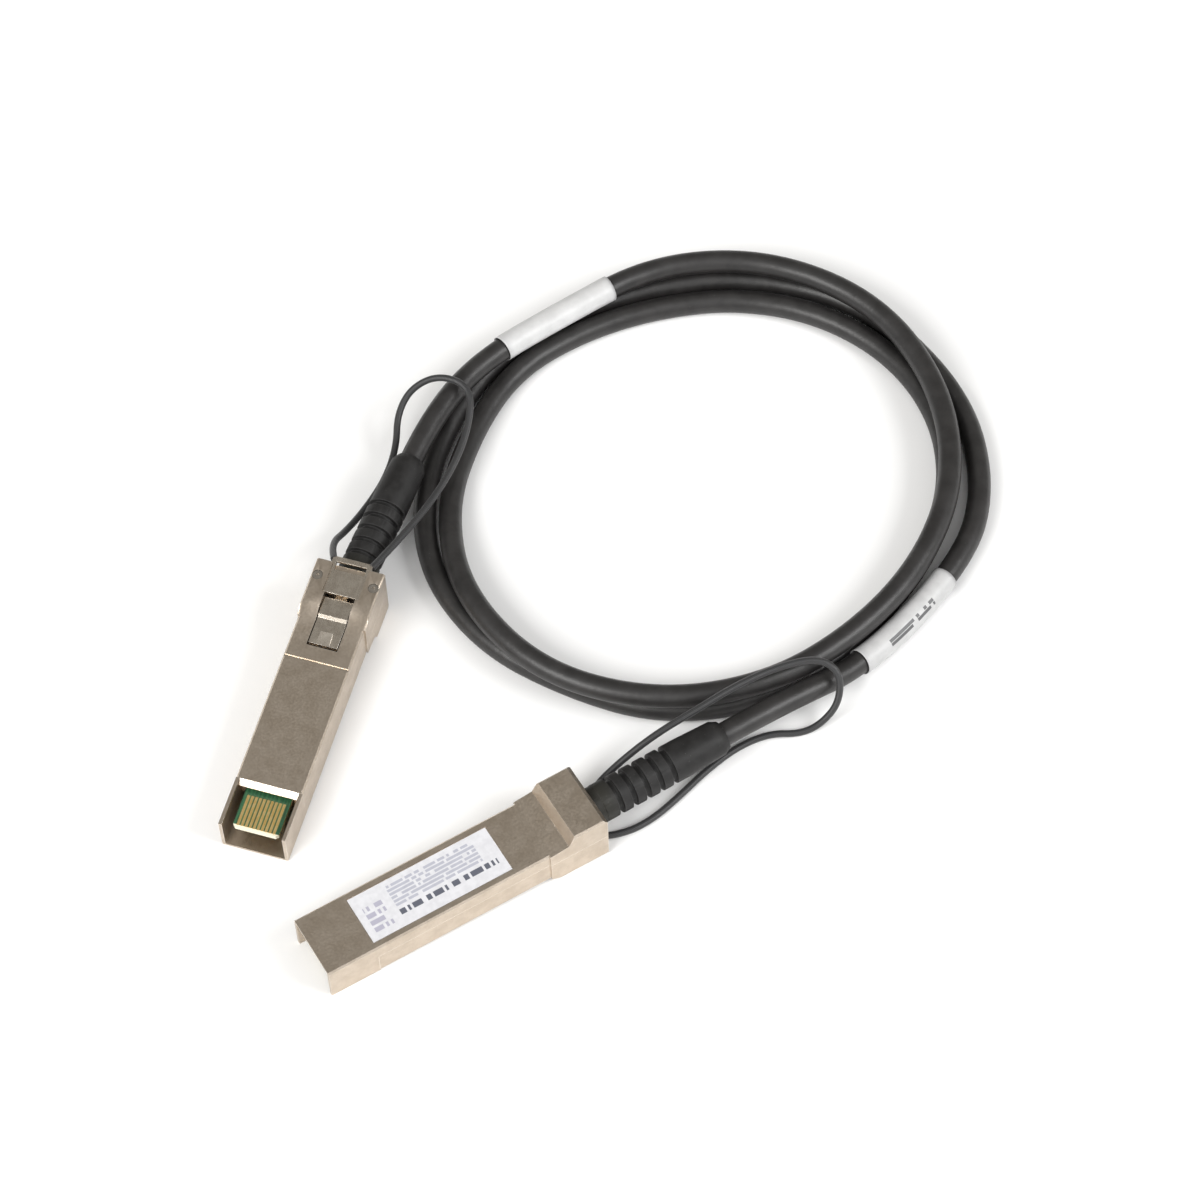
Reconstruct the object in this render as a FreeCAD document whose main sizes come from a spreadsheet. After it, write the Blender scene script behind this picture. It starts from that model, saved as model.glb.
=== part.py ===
import FreeCAD, Part
import math
import os
import Sketcher

# A direct attach network cable: two pluggable ends joined by one coiled copper cable, as it lies on a table.
# Millimetres. X runs to the right, Y away from the viewer, Z up, and the table top is Z = 0.
# Each plug is drawn in its own frame: x from the mouth to the cable, y across, z from the latch side up
# to the label side, with the latch side of the body at z = 0.

Vector = FreeCAD.Vector
Placement = FreeCAD.Placement
Rotation = FreeCAD.Rotation
RIGHT_CORNER = 1

doc = FreeCAD.newDocument("network_cable")
os.makedirs("parts", exist_ok=True)

# Driving dimensions, and positions that follow from them

SIZES = [
    ("body_width", 13.4),
    ("body_height", 8.5),
    ("stop_position", 47.5),
    ("head_length", 12.5),
    ("plug_length", "=stop_position + head_length"),
    ("mouth_length", 10.4),
    ("latch_setback", 2.5),
    ("latch_position", "=stop_position - latch_setback"),
    ("hood_wall", 0.7),
    ("hood_roof", 0.5),
    ("shell_wall", 0.8),
    ("side_wall", 0.9),
    ("bulkhead_position", 13.0),
    ("bulkhead_thickness", 1.0),
    ("head_width", 14.0),
    ("head_rise", 2.8),
    ("head_drop", 1.3),
    ("stop_rise", 0.5),
    ("head_step", 4.0),
    ("head_start", "=stop_position + head_step"),
    ("head_ramp", 1.4),
    ("drop_ramp", 2.5),
    ("head_bevel", 0.8),
    ("head_cavity_width", 8.8),
    ("head_cavity_setback", 2.0),
    ("head_cavity_start", "=stop_position + head_cavity_setback"),
    ("rear_wall", 2.8),
    ("head_roof", 1.4),
    ("parting_height", 5.2),
    ("edge_chamfer", 0.35),
    ("label_length", 30.0),
    ("label_width", 10.6),
    ("label_start", 10.3),
    ("label_depth", 0.2),
    ("label_thickness", 0.1),
    ("line_setback", 9.5),
    ("line_position", "=stop_position - line_setback"),
    ("line_width", 0.5),
    ("line_depth", 0.2),
    ("card_thickness", 1.0),
    ("card_width", 9.2),
    ("card_height", 2.25),
    ("card_setback", 1.4),
    ("card_length", 30.6),
    ("card_chamfer", 0.5),
    ("card_gap", 0.05),
    ("contact_count", 10),
    ("contact_pitch", 0.8),
    ("contact_width", 0.56),
    ("contact_length", 6.6),
    ("contact_thickness", 0.05),
    ("contact_setback", 0.4),
    ("flange_setback", 4.1),
    ("flange_start", "=plug_length - flange_setback"),
    ("flange_thickness", 1.2),
    ("ferrule_setback", 3.3),
    ("ferrule_start", "=flange_start - ferrule_setback"),
    ("ferrule_length", 2.6),
    ("ferrule_wall", 0.4),
    ("cable_diameter", 4.7),
    ("cable_setback", 0.6),
    ("cable_start", "=ferrule_start - cable_setback"),
    ("wire_diameter", 1.2),
    ("wire_landing", 4.0),
    ("wire_run", 6.0),
    ("wire_bend_rear", "=cable_start - wire_run"),
    ("wire_slope_run", 10.0),
    ("wire_bend_front", "=wire_bend_rear - wire_slope_run"),
    ("flange_diameter", 8.2),
    ("neck_diameter", 6.6),
    ("boot_diameter", 7.8),
    ("boot_end_diameter", 7.2),
    ("boot_length", 30.0),
    ("boot_collar", 4.6),
    ("boot_bend", 2.3),
    ("boot_overlap", 0.4),
    ("boot_a_lean", 4.5),
    ("boot_b_lean", 1.0),
    ("boot_sleeve", 9.5),
    ("boot_round", 1.4),
    ("rib_count", 5),
    ("rib_pitch", 3.0),
    ("rib_groove", 1.1),
    ("rib_depth", 0.8),
    ("fit_gap", 0.1),
    ("latch_slot_width", 6.3),
    ("latch_slot_reach", 3.4),
    ("latch_slot_start", "=latch_position - latch_slot_reach"),
    ("latch_ceiling", 1.85),
    ("latch_floor", 0.45),
    ("latch_gap", 0.2),
    ("rocker_thickness", 0.8),
    ("rocker_nose", 0.6),
    ("pivot_setback", 1.5),
    ("pivot_position", "=stop_position + pivot_setback"),
    ("pivot_height", 0.45),
    ("pin_diameter", 1.0),
    ("pin_length", 8.6),
    ("pin_gap", 0.03),
    ("hub_reach", 1.0),
    ("boss_width", 2.6),
    ("boss_length", 2.6),
    ("boss_height", 0.5),
    ("release_travel", 1.4),
    ("bump_reach", 2.0),
    ("bump_position", "=pivot_position + bump_reach"),
    ("bump_height", 0.62),
    ("bump_width", 0.6),
    ("ramp_ratio", 0.2),
    ("ramp_gap", 0.06),
    ("rear_arm_reach", 3.6),
    ("rear_arm_end", "=pivot_position + rear_arm_reach"),
    ("tongue_bottom", 0.98),
    ("tongue_thickness", 0.65),
    ("web_gap", 0.7),
    ("web_position", "=rear_arm_end + web_gap"),
    ("web_thickness", 0.8),
    ("slider_width", 8.2),
    ("slider_thickness", 0.7),
    ("slider_recess", 0.35),
    ("slider_lip", 0.4),
    ("slider_overhang", 1.6),
    ("slider_end", "=plug_length + slider_overhang"),
    ("slider_bar", 1.1),
    ("slider_slot", 1.9),
    ("slider_slot_width", 6.2),
    ("spring_thickness", 0.15),
    ("spring_width", 2.4),
    ("spring_front_reach", 1.4),
    ("spring_front", "=latch_position - spring_front_reach"),
    ("spring_rear_reach", 2.0),
    ("spring_rear", "=latch_position + spring_rear_reach"),
    ("screw_setback", 3.6),
    ("screw_position", "=plug_length - screw_setback"),
    ("screw_spread", 5.75),
    ("screw_diameter", 1.1),
    ("screw_head_diameter", 1.9),
    ("screw_head_height", 0.6),
    ("screw_reach", 3.2),
    ("screw_socket", 0.8),
    ("plug_a_x", -42.2),
    ("plug_a_y", -28.24),
    ("plug_a_angle", 73.4),
    ("plug_b_x", -29.8),
    ("plug_b_y", -52.64),
    ("plug_b_angle", 30.8),
    ("coil_x", 43.6),
    ("coil_y", 53.8),
    ("coil_angle", 35.0),
    ("coil_long_radius", 52.5),
    ("coil_short_radius", 45.3),
    ("coil_spread", 4.9),
    ("coil_shift", 2.8),
    ("coil_shift_angle", 125.0),
    ("lead_a_straight", 12.0),
    ("lead_b_straight", 14.0),
    ("wrap_length", 27.0),
    ("wrap_b_place", 13.0),
    ("wrap_thickness", 0.5),
    ("lanyard_diameter", 1.4),
    ("lanyard_spread", 3.9),
]

sheet = doc.addObject("Spreadsheet::Sheet", "Sizes")
for row, (alias, value) in enumerate(SIZES, start=1):
    sheet.set("A%d" % row, alias)
    sheet.set("B%d" % row, str(value))
    sheet.setAlias("B%d" % row, alias)
doc.recompute()


def size(alias):
    return float(sheet.get(alias))


def bound(formula):
    """A formula in plain aliases, written as a spreadsheet expression."""
    words = []
    for word in formula.split():
        words.append("Sizes." + word if word.isidentifier() else word)
    return " ".join(words)


# Drawing tools for bodies made from sketches

def new_body(name):
    return doc.addObject("PartDesign::Body", name)


def new_sketch(body, name, plane, offset=None):
    """A sketch on one of the body's own planes, moved along the plane's normal by a formula."""
    sketch = body.newObject("Sketcher::SketchObject", body.Name + "_" + name)
    support = [feature for feature in body.Origin.OriginFeatures if feature.Role == plane][0]
    sketch.AttachmentSupport = [(support, "")]
    sketch.MapMode = "FlatFace"
    if offset:
        sketch.setExpression("AttachmentOffset.Base.z", bound(offset))
    return sketch


def fix_point(sketch, edge, end, across, up):
    """Hold one end of a sketch edge at two formulas measured from the origin."""
    for kind, formula in (("DistanceX", across), ("DistanceY", up)):
        value = float(sketch.evalExpression(bound(formula)))
        index = sketch.addConstraint(Sketcher.Constraint(kind, -1, 1, edge, end, value))
        sketch.setExpression("Constraints[%d]" % index, bound(formula))


def draw_outline(sketch, corners):
    """A closed outline of straight edges through corners given as pairs of formulas."""
    places = []
    for across, up in corners:
        places.append(Vector(float(sketch.evalExpression(bound(across))),
                             float(sketch.evalExpression(bound(up))), 0))
    count = len(corners)
    first = sketch.GeometryCount
    for i in range(count):
        sketch.addGeometry(Part.LineSegment(places[i], places[(i + 1) % count]))
    for i in range(count):
        sketch.addConstraint(Sketcher.Constraint("Coincident", first + i, 2, first + (i + 1) % count, 1))
    for i, (across, up) in enumerate(corners):
        fix_point(sketch, first + i, 1, across, up)


def draw_circle(sketch, across, up, diameter):
    centre = Vector(float(sketch.evalExpression(bound(across))), float(sketch.evalExpression(bound(up))), 0)
    reach = float(sketch.evalExpression(bound(diameter)))
    edge = sketch.addGeometry(Part.Circle(centre, Vector(0, 0, 1), reach / 2))
    fix_point(sketch, edge, 3, across, up)
    index = sketch.addConstraint(Sketcher.Constraint("Diameter", edge, reach))
    sketch.setExpression("Constraints[%d]" % index, bound(diameter))


def rectangle(left, right, low, high):
    return [(left, low), (right, low), (right, high), (left, high)]


def pad(body, name, corners, width):
    """Side outline in x and z, thickened evenly to both sides of the plug's middle plane."""
    sketch = new_sketch(body, name + "_outline", "XZ_Plane")
    draw_outline(sketch, corners)
    feature = body.newObject("PartDesign::Pad", body.Name + "_" + name)
    feature.Profile = sketch
    feature.SideType = "Symmetric"
    feature.setExpression("Length", bound(width))
    doc.recompute()
    return feature


def cut(body, name, corners, width):
    """Side outline in x and z, cut evenly to both sides of the plug's middle plane."""
    sketch = new_sketch(body, name + "_outline", "XZ_Plane")
    draw_outline(sketch, corners)
    feature = body.newObject("PartDesign::Pocket", body.Name + "_" + name)
    feature.Profile = sketch
    feature.SideType = "Symmetric"
    feature.setExpression("Length", bound(width))
    doc.recompute()
    return feature


def cut_down(body, name, draw, height, depth, upward=False):
    """A plan outline cut from a height down into the body, or up into it."""
    sketch = new_sketch(body, name + "_outline", "XY_Plane", height)
    draw(sketch)
    feature = body.newObject("PartDesign::Pocket", body.Name + "_" + name)
    feature.Profile = sketch
    feature.Reversed = upward
    feature.setExpression("Length", bound(depth))
    before = body.Shape.Volume
    doc.recompute()
    assert feature.Shape.Volume < before, name
    return feature


def cut_bore(body, name, start, diameter, depth):
    """A round hole along the plug, from the rear face towards the mouth."""
    sketch = new_sketch(body, name + "_outline", "YZ_Plane", start)
    draw_circle(sketch, "0", "parting_height", diameter)
    feature = body.newObject("PartDesign::Pocket", body.Name + "_" + name)
    feature.Profile = sketch
    feature.setExpression("Length", bound(depth))
    before = body.Shape.Volume
    doc.recompute()
    assert feature.Shape.Volume < before, name
    return feature


def edges_along(shape, direction, keep):
    """Names of a shape's straight edges along a direction whose middle passes a test."""
    names = []
    for i, edge in enumerate(shape.Edges, start=1):
        run = edge.Vertexes[-1].Point - edge.Vertexes[0].Point
        if edge.Curve.TypeId == "Part::GeomLine" and run.Length > 0:
            if abs(run.normalize().dot(direction)) > 0.999 and keep(edge.CenterOfMass):
                names.append("Edge%d" % i)
    return names


def chamfer(body, name, direction, keep, amount):
    base = body.Tip
    feature = body.newObject("PartDesign::Chamfer", body.Name + "_" + name)
    feature.Base = (base, edges_along(base.Shape, direction, keep))
    feature.setExpression("Size", bound(amount))
    doc.recompute()
    return feature


# The shells

def make_upper_shell(end):
    """Label side casting: hood and skirts of the mouth, roof, and the upper half of the head."""
    body = new_body("upper_shell_" + end)
    pad(body, "hood", [("0", "0"), ("mouth_length", "0"), ("mouth_length", "parting_height"),
                       ("stop_position", "parting_height"), ("stop_position", "body_height"),
                       ("0", "body_height")], "body_width")
    pad(body, "head", [("stop_position", "parting_height"), ("plug_length", "parting_height"),
                       ("plug_length", "body_height + head_rise - head_bevel"),
                       ("plug_length - head_bevel", "body_height + head_rise"),
                       ("head_start + head_ramp", "body_height + head_rise"),
                       ("head_start", "body_height + stop_rise"),
                       ("stop_position", "body_height")], "head_width")
    half = size("body_width") / 2 - 0.01
    roof = size("body_height") - 0.01
    chamfer(body, "roof_edges", Vector(1, 0, 0), lambda p: abs(p.y) > half and p.z > roof, "edge_chamfer")
    cut(body, "mouth", rectangle("-1", "bulkhead_position", "-1", "body_height - hood_roof"),
        "body_width - 2 * hood_wall")
    cut(body, "cavity", rectangle("bulkhead_position + bulkhead_thickness", "head_cavity_start", "0",
                                  "body_height - shell_wall"), "body_width - 2 * side_wall")
    cut(body, "head_cavity", [("head_cavity_start - fit_gap", "0"),
                              ("plug_length - rear_wall", "0"),
                              ("plug_length - rear_wall", "body_height + head_rise - head_roof"),
                              ("head_start + head_ramp", "body_height + head_rise - head_roof"),
                              ("head_start", "body_height - shell_wall"),
                              ("head_cavity_start - fit_gap", "body_height - shell_wall")],
        "head_cavity_width")
    pad(body, "bulkhead", rectangle("bulkhead_position", "bulkhead_position + bulkhead_thickness",
                                    "card_height + card_thickness + card_gap", "body_height - hood_roof / 2"),
        "card_width - fit_gap")
    cut_bore(body, "neck_bore", "plug_length", "neck_diameter", "rear_wall + fit_gap")
    cut_down(body, "label_recess", draw_label_field, "body_height", "label_depth")
    cut_down(body, "screw_threads", lambda s: draw_screw_circles(s, "screw_diameter"),
             "parting_height", "screw_reach", upward=True)
    return body


def draw_label_field(sketch):
    draw_outline(sketch, rectangle("label_start", "label_start + label_length",
                                   "-1 * label_width / 2", "label_width / 2"))


def draw_screw_circles(sketch, diameter):
    for side in ("screw_spread", "-1 * screw_spread"):
        draw_circle(sketch, "screw_position", side, diameter)


def make_lower_shell(end):
    """Latch side casting: floor, lower half of the head, latch slot, slider track and card seat."""
    body = new_body("lower_shell_" + end)
    pad(body, "floor", rectangle("mouth_length", "stop_position", "0", "parting_height"), "body_width")
    pad(body, "head", [("stop_position", "0"), ("stop_position + drop_ramp", "-1 * head_drop"),
                       ("plug_length", "-1 * head_drop"), ("plug_length", "parting_height"),
                       ("stop_position", "parting_height")], "head_width")
    half = size("body_width") / 2 - 0.01
    chamfer(body, "floor_edges", Vector(1, 0, 0), lambda p: abs(p.y) > half and p.z < 0.01, "edge_chamfer")
    cut(body, "cavity", [("bulkhead_position + bulkhead_thickness", "shell_wall"),
                         ("latch_slot_start - shell_wall", "shell_wall"),
                         ("latch_slot_start - shell_wall", "latch_ceiling + latch_floor"),
                         ("head_cavity_start", "latch_ceiling + latch_floor"),
                         ("head_cavity_start", "parting_height + 1"),
                         ("bulkhead_position + bulkhead_thickness", "parting_height + 1")],
        "body_width - 2 * side_wall")
    cut(body, "head_cavity", [("head_cavity_start - fit_gap", "latch_ceiling + latch_floor"),
                              ("flange_start - fit_gap", "latch_ceiling + latch_floor"),
                              ("flange_start - fit_gap", "parting_height - flange_diameter / 2 - fit_gap"),
                              ("plug_length - rear_wall", "parting_height - flange_diameter / 2 - fit_gap"),
                              ("plug_length - rear_wall", "parting_height + 1"),
                              ("head_cavity_start - fit_gap", "parting_height + 1")], "head_cavity_width")
    cut(body, "card_seat", rectangle("mouth_length - 1", "bulkhead_position + bulkhead_thickness + fit_gap",
                                     "card_height", "parting_height + 1"), "card_width + fit_gap")
    cut_bore(body, "neck_bore", "plug_length", "neck_diameter", "rear_wall + fit_gap")
    slot_end = "web_position + web_thickness + release_travel + latch_gap"
    cut(body, "latch_slot", rectangle("latch_slot_start", slot_end, "-1 * head_drop - 1", "latch_ceiling"),
        "latch_slot_width")
    track = "-1 * head_drop + slider_recess"
    cut(body, "slider_track", rectangle("web_position - latch_gap", "plug_length + 1",
                                        track + " - fit_gap", track + " + slider_thickness + fit_gap"),
        "slider_width + 2 * fit_gap")
    cut(body, "slider_window", rectangle("web_position - latch_gap", "plug_length + 1",
                                         "-1 * head_drop - 1", track), "slider_width - 2 * slider_lip")
    cut(body, "cover_line", rectangle("line_position", "line_position + line_width", "-1", "line_depth"),
        "head_width")
    pin_hole = new_sketch(body, "pin_hole_outline", "XZ_Plane")
    draw_circle(pin_hole, "pivot_position", "pivot_height", "pin_diameter")
    drill = body.newObject("PartDesign::Pocket", body.Name + "_pin_hole")
    drill.Profile = pin_hole
    drill.SideType = "Symmetric"
    drill.setExpression("Length", bound("pin_length"))
    doc.recompute()
    cut_down(body, "screw_holes", lambda s: draw_screw_circles(s, "screw_diameter + fit_gap"),
             "-1 * head_drop", "head_drop + parting_height", upward=True)
    cut_down(body, "screw_seats", lambda s: draw_screw_circles(s, "screw_head_diameter + 2 * fit_gap"),
             "-1 * head_drop", "screw_head_height + fit_gap", upward=True)
    return body


def make_plug_label():
    """Printed label on the label side of the plug that lies face up."""
    body = new_body("plug_label_b")
    sketch = new_sketch(body, "field", "XY_Plane", "body_height - label_depth")
    draw_outline(sketch, rectangle("label_start + fit_gap", "label_start + label_length - fit_gap",
                                   "fit_gap - label_width / 2", "label_width / 2 - fit_gap"))
    sheet_pad = body.newObject("PartDesign::Pad", "plug_label_b_sheet")
    sheet_pad.Profile = sketch
    sheet_pad.setExpression("Length", bound("label_thickness"))
    doc.recompute()
    return body


# The card and what is soldered to it

def make_paddle_card(end):
    """Printed board with bevelled front corners."""
    body = new_body("paddle_card_" + end)
    sketch = new_sketch(body, "outline", "XY_Plane", "card_height")
    draw_outline(sketch, [("card_setback + card_chamfer", "-1 * card_width / 2"),
                          ("card_setback + card_length", "-1 * card_width / 2"),
                          ("card_setback + card_length", "card_width / 2"),
                          ("card_setback + card_chamfer", "card_width / 2"),
                          ("card_setback", "card_width / 2 - card_chamfer"),
                          ("card_setback", "card_chamfer - card_width / 2")])
    board = body.newObject("PartDesign::Pad", body.Name + "_board")
    board.Profile = sketch
    board.setExpression("Length", bound("card_thickness"))
    doc.recompute()
    return body


def make_contacts(end):
    """Rows of gold edge contacts on both faces of the card."""
    strips = []
    levels = {"top": "card_height + card_thickness", "under": "card_height - contact_thickness"}
    for face, level in levels.items():
        for i in range(int(size("contact_count"))):
            strip = doc.addObject("Part::Box", "contact_%s_%s_%d" % (end, face, i + 1))
            strip.setExpression("Length", bound("contact_length"))
            strip.setExpression("Width", bound("contact_width"))
            strip.setExpression("Height", bound("contact_thickness"))
            strip.setExpression("Placement.Base.x", bound("card_setback + contact_setback"))
            middle = "( %d - ( contact_count - 1 ) / 2 )" % i
            strip.setExpression("Placement.Base.y", bound(middle + " * contact_pitch - contact_width / 2"))
            strip.setExpression("Placement.Base.z", bound(level))
            strips.append(strip)
    contacts = doc.addObject("Part::Compound", "edge_contacts_" + end)
    contacts.Links = strips
    return contacts


def make_wires(end):
    """Two insulated pairs, bent from the cable end onto the two faces of the card."""
    reach = size("wire_diameter") / 2
    axis = size("parting_height")
    card_top = size("card_height") + size("card_thickness")
    landings = [(axis + reach, card_top + reach), (axis - reach, size("card_height") - reach)]
    landing_start = size("card_setback") + size("card_length") - size("wire_landing")
    solids = []
    for from_height, to_height in landings:
        for side in (-reach, reach):
            path = [Vector(size("cable_start"), side, from_height),
                    Vector(size("wire_bend_rear"), side, from_height),
                    Vector(size("wire_bend_front"), side, to_height),
                    Vector(landing_start, side, to_height)]
            solids.append(tube(round_route(path), reach))
    wires = doc.addObject("Part::Feature", "wire_pairs_" + end)
    wires.Shape = Part.makeCompound(solids)
    return wires


# The cable end, its crimp and its boot, turned about the cable's own axis

def turn(body, name, corners):
    """A profile of distance along the plug and radius, turned about the cable's axis."""
    sketch = new_sketch(body, name + "_profile", "XZ_Plane")
    draw_outline(sketch, corners)
    feature = body.newObject("PartDesign::Revolution", body.Name + "_" + name)
    feature.Profile = sketch
    feature.ReferenceAxis = (sketch, ["H_Axis"])
    feature.Angle = 360
    doc.recompute()
    return feature


def bent_end(end):
    """Ends of the cable's straight run in a plug and of its leaning run through the boot, on its own axis."""
    lean = Rotation(Vector(0, 0, 1), size("boot_%s_lean" % end))
    bend = Vector(size("plug_length") + size("boot_bend"), 0, 0)
    tip = bend + lean.multVec(Vector(size("boot_length") - size("boot_bend"), 0, 0))
    return [Vector(size("cable_start"), 0, 0), bend, tip]


def make_cable_end(end):
    """Jacket end inside the plug, up to the end of the boot, mitred where the boot starts to lean."""
    start, bend, tip = bent_end(end)
    path = Part.Wire([Part.LineSegment(start, bend).toShape(), Part.LineSegment(bend, tip).toShape()])
    ring = Part.Wire(Part.Circle(start, Vector(1, 0, 0), size("cable_diameter") / 2).toShape())
    core = doc.addObject("Part::Feature", "cable_end_" + end)
    core.Shape = path.makePipeShell([ring], True, False, RIGHT_CORNER)
    return core


def make_ferrule(end):
    body = new_body("crimp_ferrule_" + end)
    turn(body, "ring", rectangle("ferrule_start", "ferrule_start + ferrule_length", "cable_diameter / 2",
                                 "cable_diameter / 2 + ferrule_wall"))
    return body


def leaning_sketch(body, name, end):
    """A sketch along the leaning tail of a boot, measured from the bend behind the plug's rear face."""
    sketch = new_sketch(body, name, "XY_Plane")
    sketch.AttachmentOffset = Placement(Vector(), Rotation(Vector(0, 0, 1), size("boot_%s_lean" % end)))
    sketch.setExpression("AttachmentOffset.Base.x", bound("plug_length + boot_bend"))
    sketch.setExpression("AttachmentOffset.Rotation.Angle", bound("boot_%s_lean" % end))
    return sketch


def make_boot(end):
    """Moulded strain relief: flange held in the head, collar, and a leaning tail with grooves and sleeve."""
    body = new_body("boot_" + end)
    turn(body, "collar", [("flange_start", "cable_diameter / 2 + fit_gap"),
                          ("flange_start", "flange_diameter / 2"),
                          ("flange_start + flange_thickness", "flange_diameter / 2"),
                          ("flange_start + flange_thickness", "neck_diameter / 2"),
                          ("plug_length", "neck_diameter / 2"),
                          ("plug_length", "boot_diameter / 2 - fit_gap"),
                          ("plug_length + boot_bend", "boot_diameter / 2 - fit_gap"),
                          ("plug_length + boot_bend", "cable_diameter / 2 + fit_gap")])
    profile = leaning_sketch(body, "tail_profile", end)
    draw_outline(profile, [("-1 * boot_overlap", "cable_diameter / 2"),
                           ("-1 * boot_overlap", "boot_diameter / 2"),
                           ("boot_length - boot_bend - boot_sleeve", "boot_diameter / 2"),
                           ("boot_length - boot_bend - boot_round", "boot_end_diameter / 2"),
                           ("boot_length - boot_bend", "boot_end_diameter / 2 - boot_round / 2"),
                           ("boot_length - boot_bend", "cable_diameter / 2")])
    tail = body.newObject("PartDesign::Revolution", body.Name + "_tail")
    tail.Profile = profile
    tail.ReferenceAxis = (profile, ["H_Axis"])
    tail.Angle = 360
    doc.recompute()
    sketch = leaning_sketch(body, "groove_profile", end)
    first = "boot_collar - boot_bend"
    draw_outline(sketch, rectangle(first, first + " + rib_groove",
                                   "boot_diameter / 2 - rib_depth", "boot_diameter"))
    groove = body.newObject("PartDesign::Groove", body.Name + "_groove")
    groove.Profile = sketch
    groove.ReferenceAxis = (sketch, ["H_Axis"])
    groove.Angle = 360
    doc.recompute()
    body.Tip = groove
    pattern = body.newObject("PartDesign::LinearPattern", body.Name + "_ribs")
    pattern.Originals = [groove]
    pattern.Direction = (sketch, ["H_Axis"])
    body.Tip = pattern
    pattern.setExpression("Length", bound("rib_pitch * ( rib_count - 1 )"))
    pattern.setExpression("Occurrences", bound("rib_count"))
    doc.recompute()
    return body


# The release mechanism

def make_rocker(end):
    """Latch lever on its pin: boss on the front arm, sloped rear arm under the slider's bump."""
    body = new_body("latch_rocker_" + end)
    nose = "latch_slot_start + rocker_nose"
    ramp = "bump_height - ramp_gap + ramp_ratio"
    hub_end = "pivot_position + hub_reach"
    pad(body, "lever", [(nose, "0"),
                        ("pivot_position - hub_reach", "0"),
                        ("pivot_position - hub_reach / 2", "pivot_height - hub_reach"),
                        ("pivot_position + hub_reach / 2", "pivot_height - hub_reach"),
                        ("rear_arm_end", "-1 * rocker_thickness / 4"),
                        ("rear_arm_end", ramp + " * ( rear_arm_end - bump_position )"),
                        (hub_end, ramp + " * ( " + hub_end + " - bump_position )"),
                        ("pivot_position + hub_reach / 2", "pivot_height + hub_reach - latch_gap / 2"),
                        ("pivot_position - hub_reach / 2", "pivot_height + hub_reach - latch_gap / 2"),
                        ("pivot_position - hub_reach", "rocker_thickness"),
                        (nose, "rocker_thickness")], "latch_slot_width - 2 * latch_gap")
    pad(body, "boss", [("latch_position - boss_length", "0"), ("latch_position", "-1 * boss_height"),
                       ("latch_position", "rocker_thickness / 2"),
                       ("latch_position - boss_length", "rocker_thickness / 2")], "boss_width")
    hole = new_sketch(body, "pin_hole_outline", "XZ_Plane")
    draw_circle(hole, "pivot_position", "pivot_height", "pin_diameter + 2 * pin_gap")
    drill = body.newObject("PartDesign::Pocket", body.Name + "_pin_hole")
    drill.Profile = hole
    drill.SideType = "Symmetric"
    drill.setExpression("Length", bound("head_width"))
    doc.recompute()
    return body


def make_latch_pin(end):
    pin = doc.addObject("Part::Cylinder", "latch_pin_" + end)
    pin.setExpression("Radius", bound("pin_diameter / 2"))
    pin.setExpression("Height", bound("pin_length"))
    return pin


def make_slider(end):
    """Stamped release plate: tongue with its bump over the rocker, web, plate with a slot and rear bar."""
    body = new_body("release_slider_" + end)
    low = "-1 * head_drop + slider_recess"
    pad(body, "plate", rectangle("web_position", "slider_end", low, low + " + slider_thickness"),
        "slider_width")
    pad(body, "tongue", [("web_position", low),
                         ("web_position + web_thickness", low),
                         ("web_position + web_thickness", "tongue_bottom + tongue_thickness"),
                         ("bump_position - bump_width / 2", "tongue_bottom + tongue_thickness"),
                         ("bump_position - bump_width / 2", "tongue_bottom"),
                         ("bump_position", "bump_height"),
                         ("bump_position + bump_width / 2", "tongue_bottom"),
                         ("web_position", "tongue_bottom")], "boss_width")
    cut_down(body, "slot", draw_slider_slot, low + " + slider_thickness", "slider_thickness")
    return body


def draw_slider_slot(sketch):
    draw_outline(sketch, rectangle("slider_end - slider_bar - slider_slot", "slider_end - slider_bar",
                                   "-1 * slider_slot_width / 2", "slider_slot_width / 2"))


def make_latch_spring(end):
    """Bent strip between the roof of the latch slot and the front arm of the rocker."""
    body = new_body("latch_spring_" + end)
    top = "latch_ceiling - pin_gap"
    underside = top + " - spring_thickness"
    rest = "rocker_thickness + pin_gap"
    pad(body, "strip", [("spring_front", rest), ("spring_front + 1", rest),
                        ("spring_rear - 1", underside), ("spring_rear", underside),
                        ("spring_rear", top), ("spring_rear - 1.1", top),
                        ("spring_front + 0.9", rest + " + spring_thickness"),
                        ("spring_front", rest + " + spring_thickness")], "spring_width")
    return body


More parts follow.
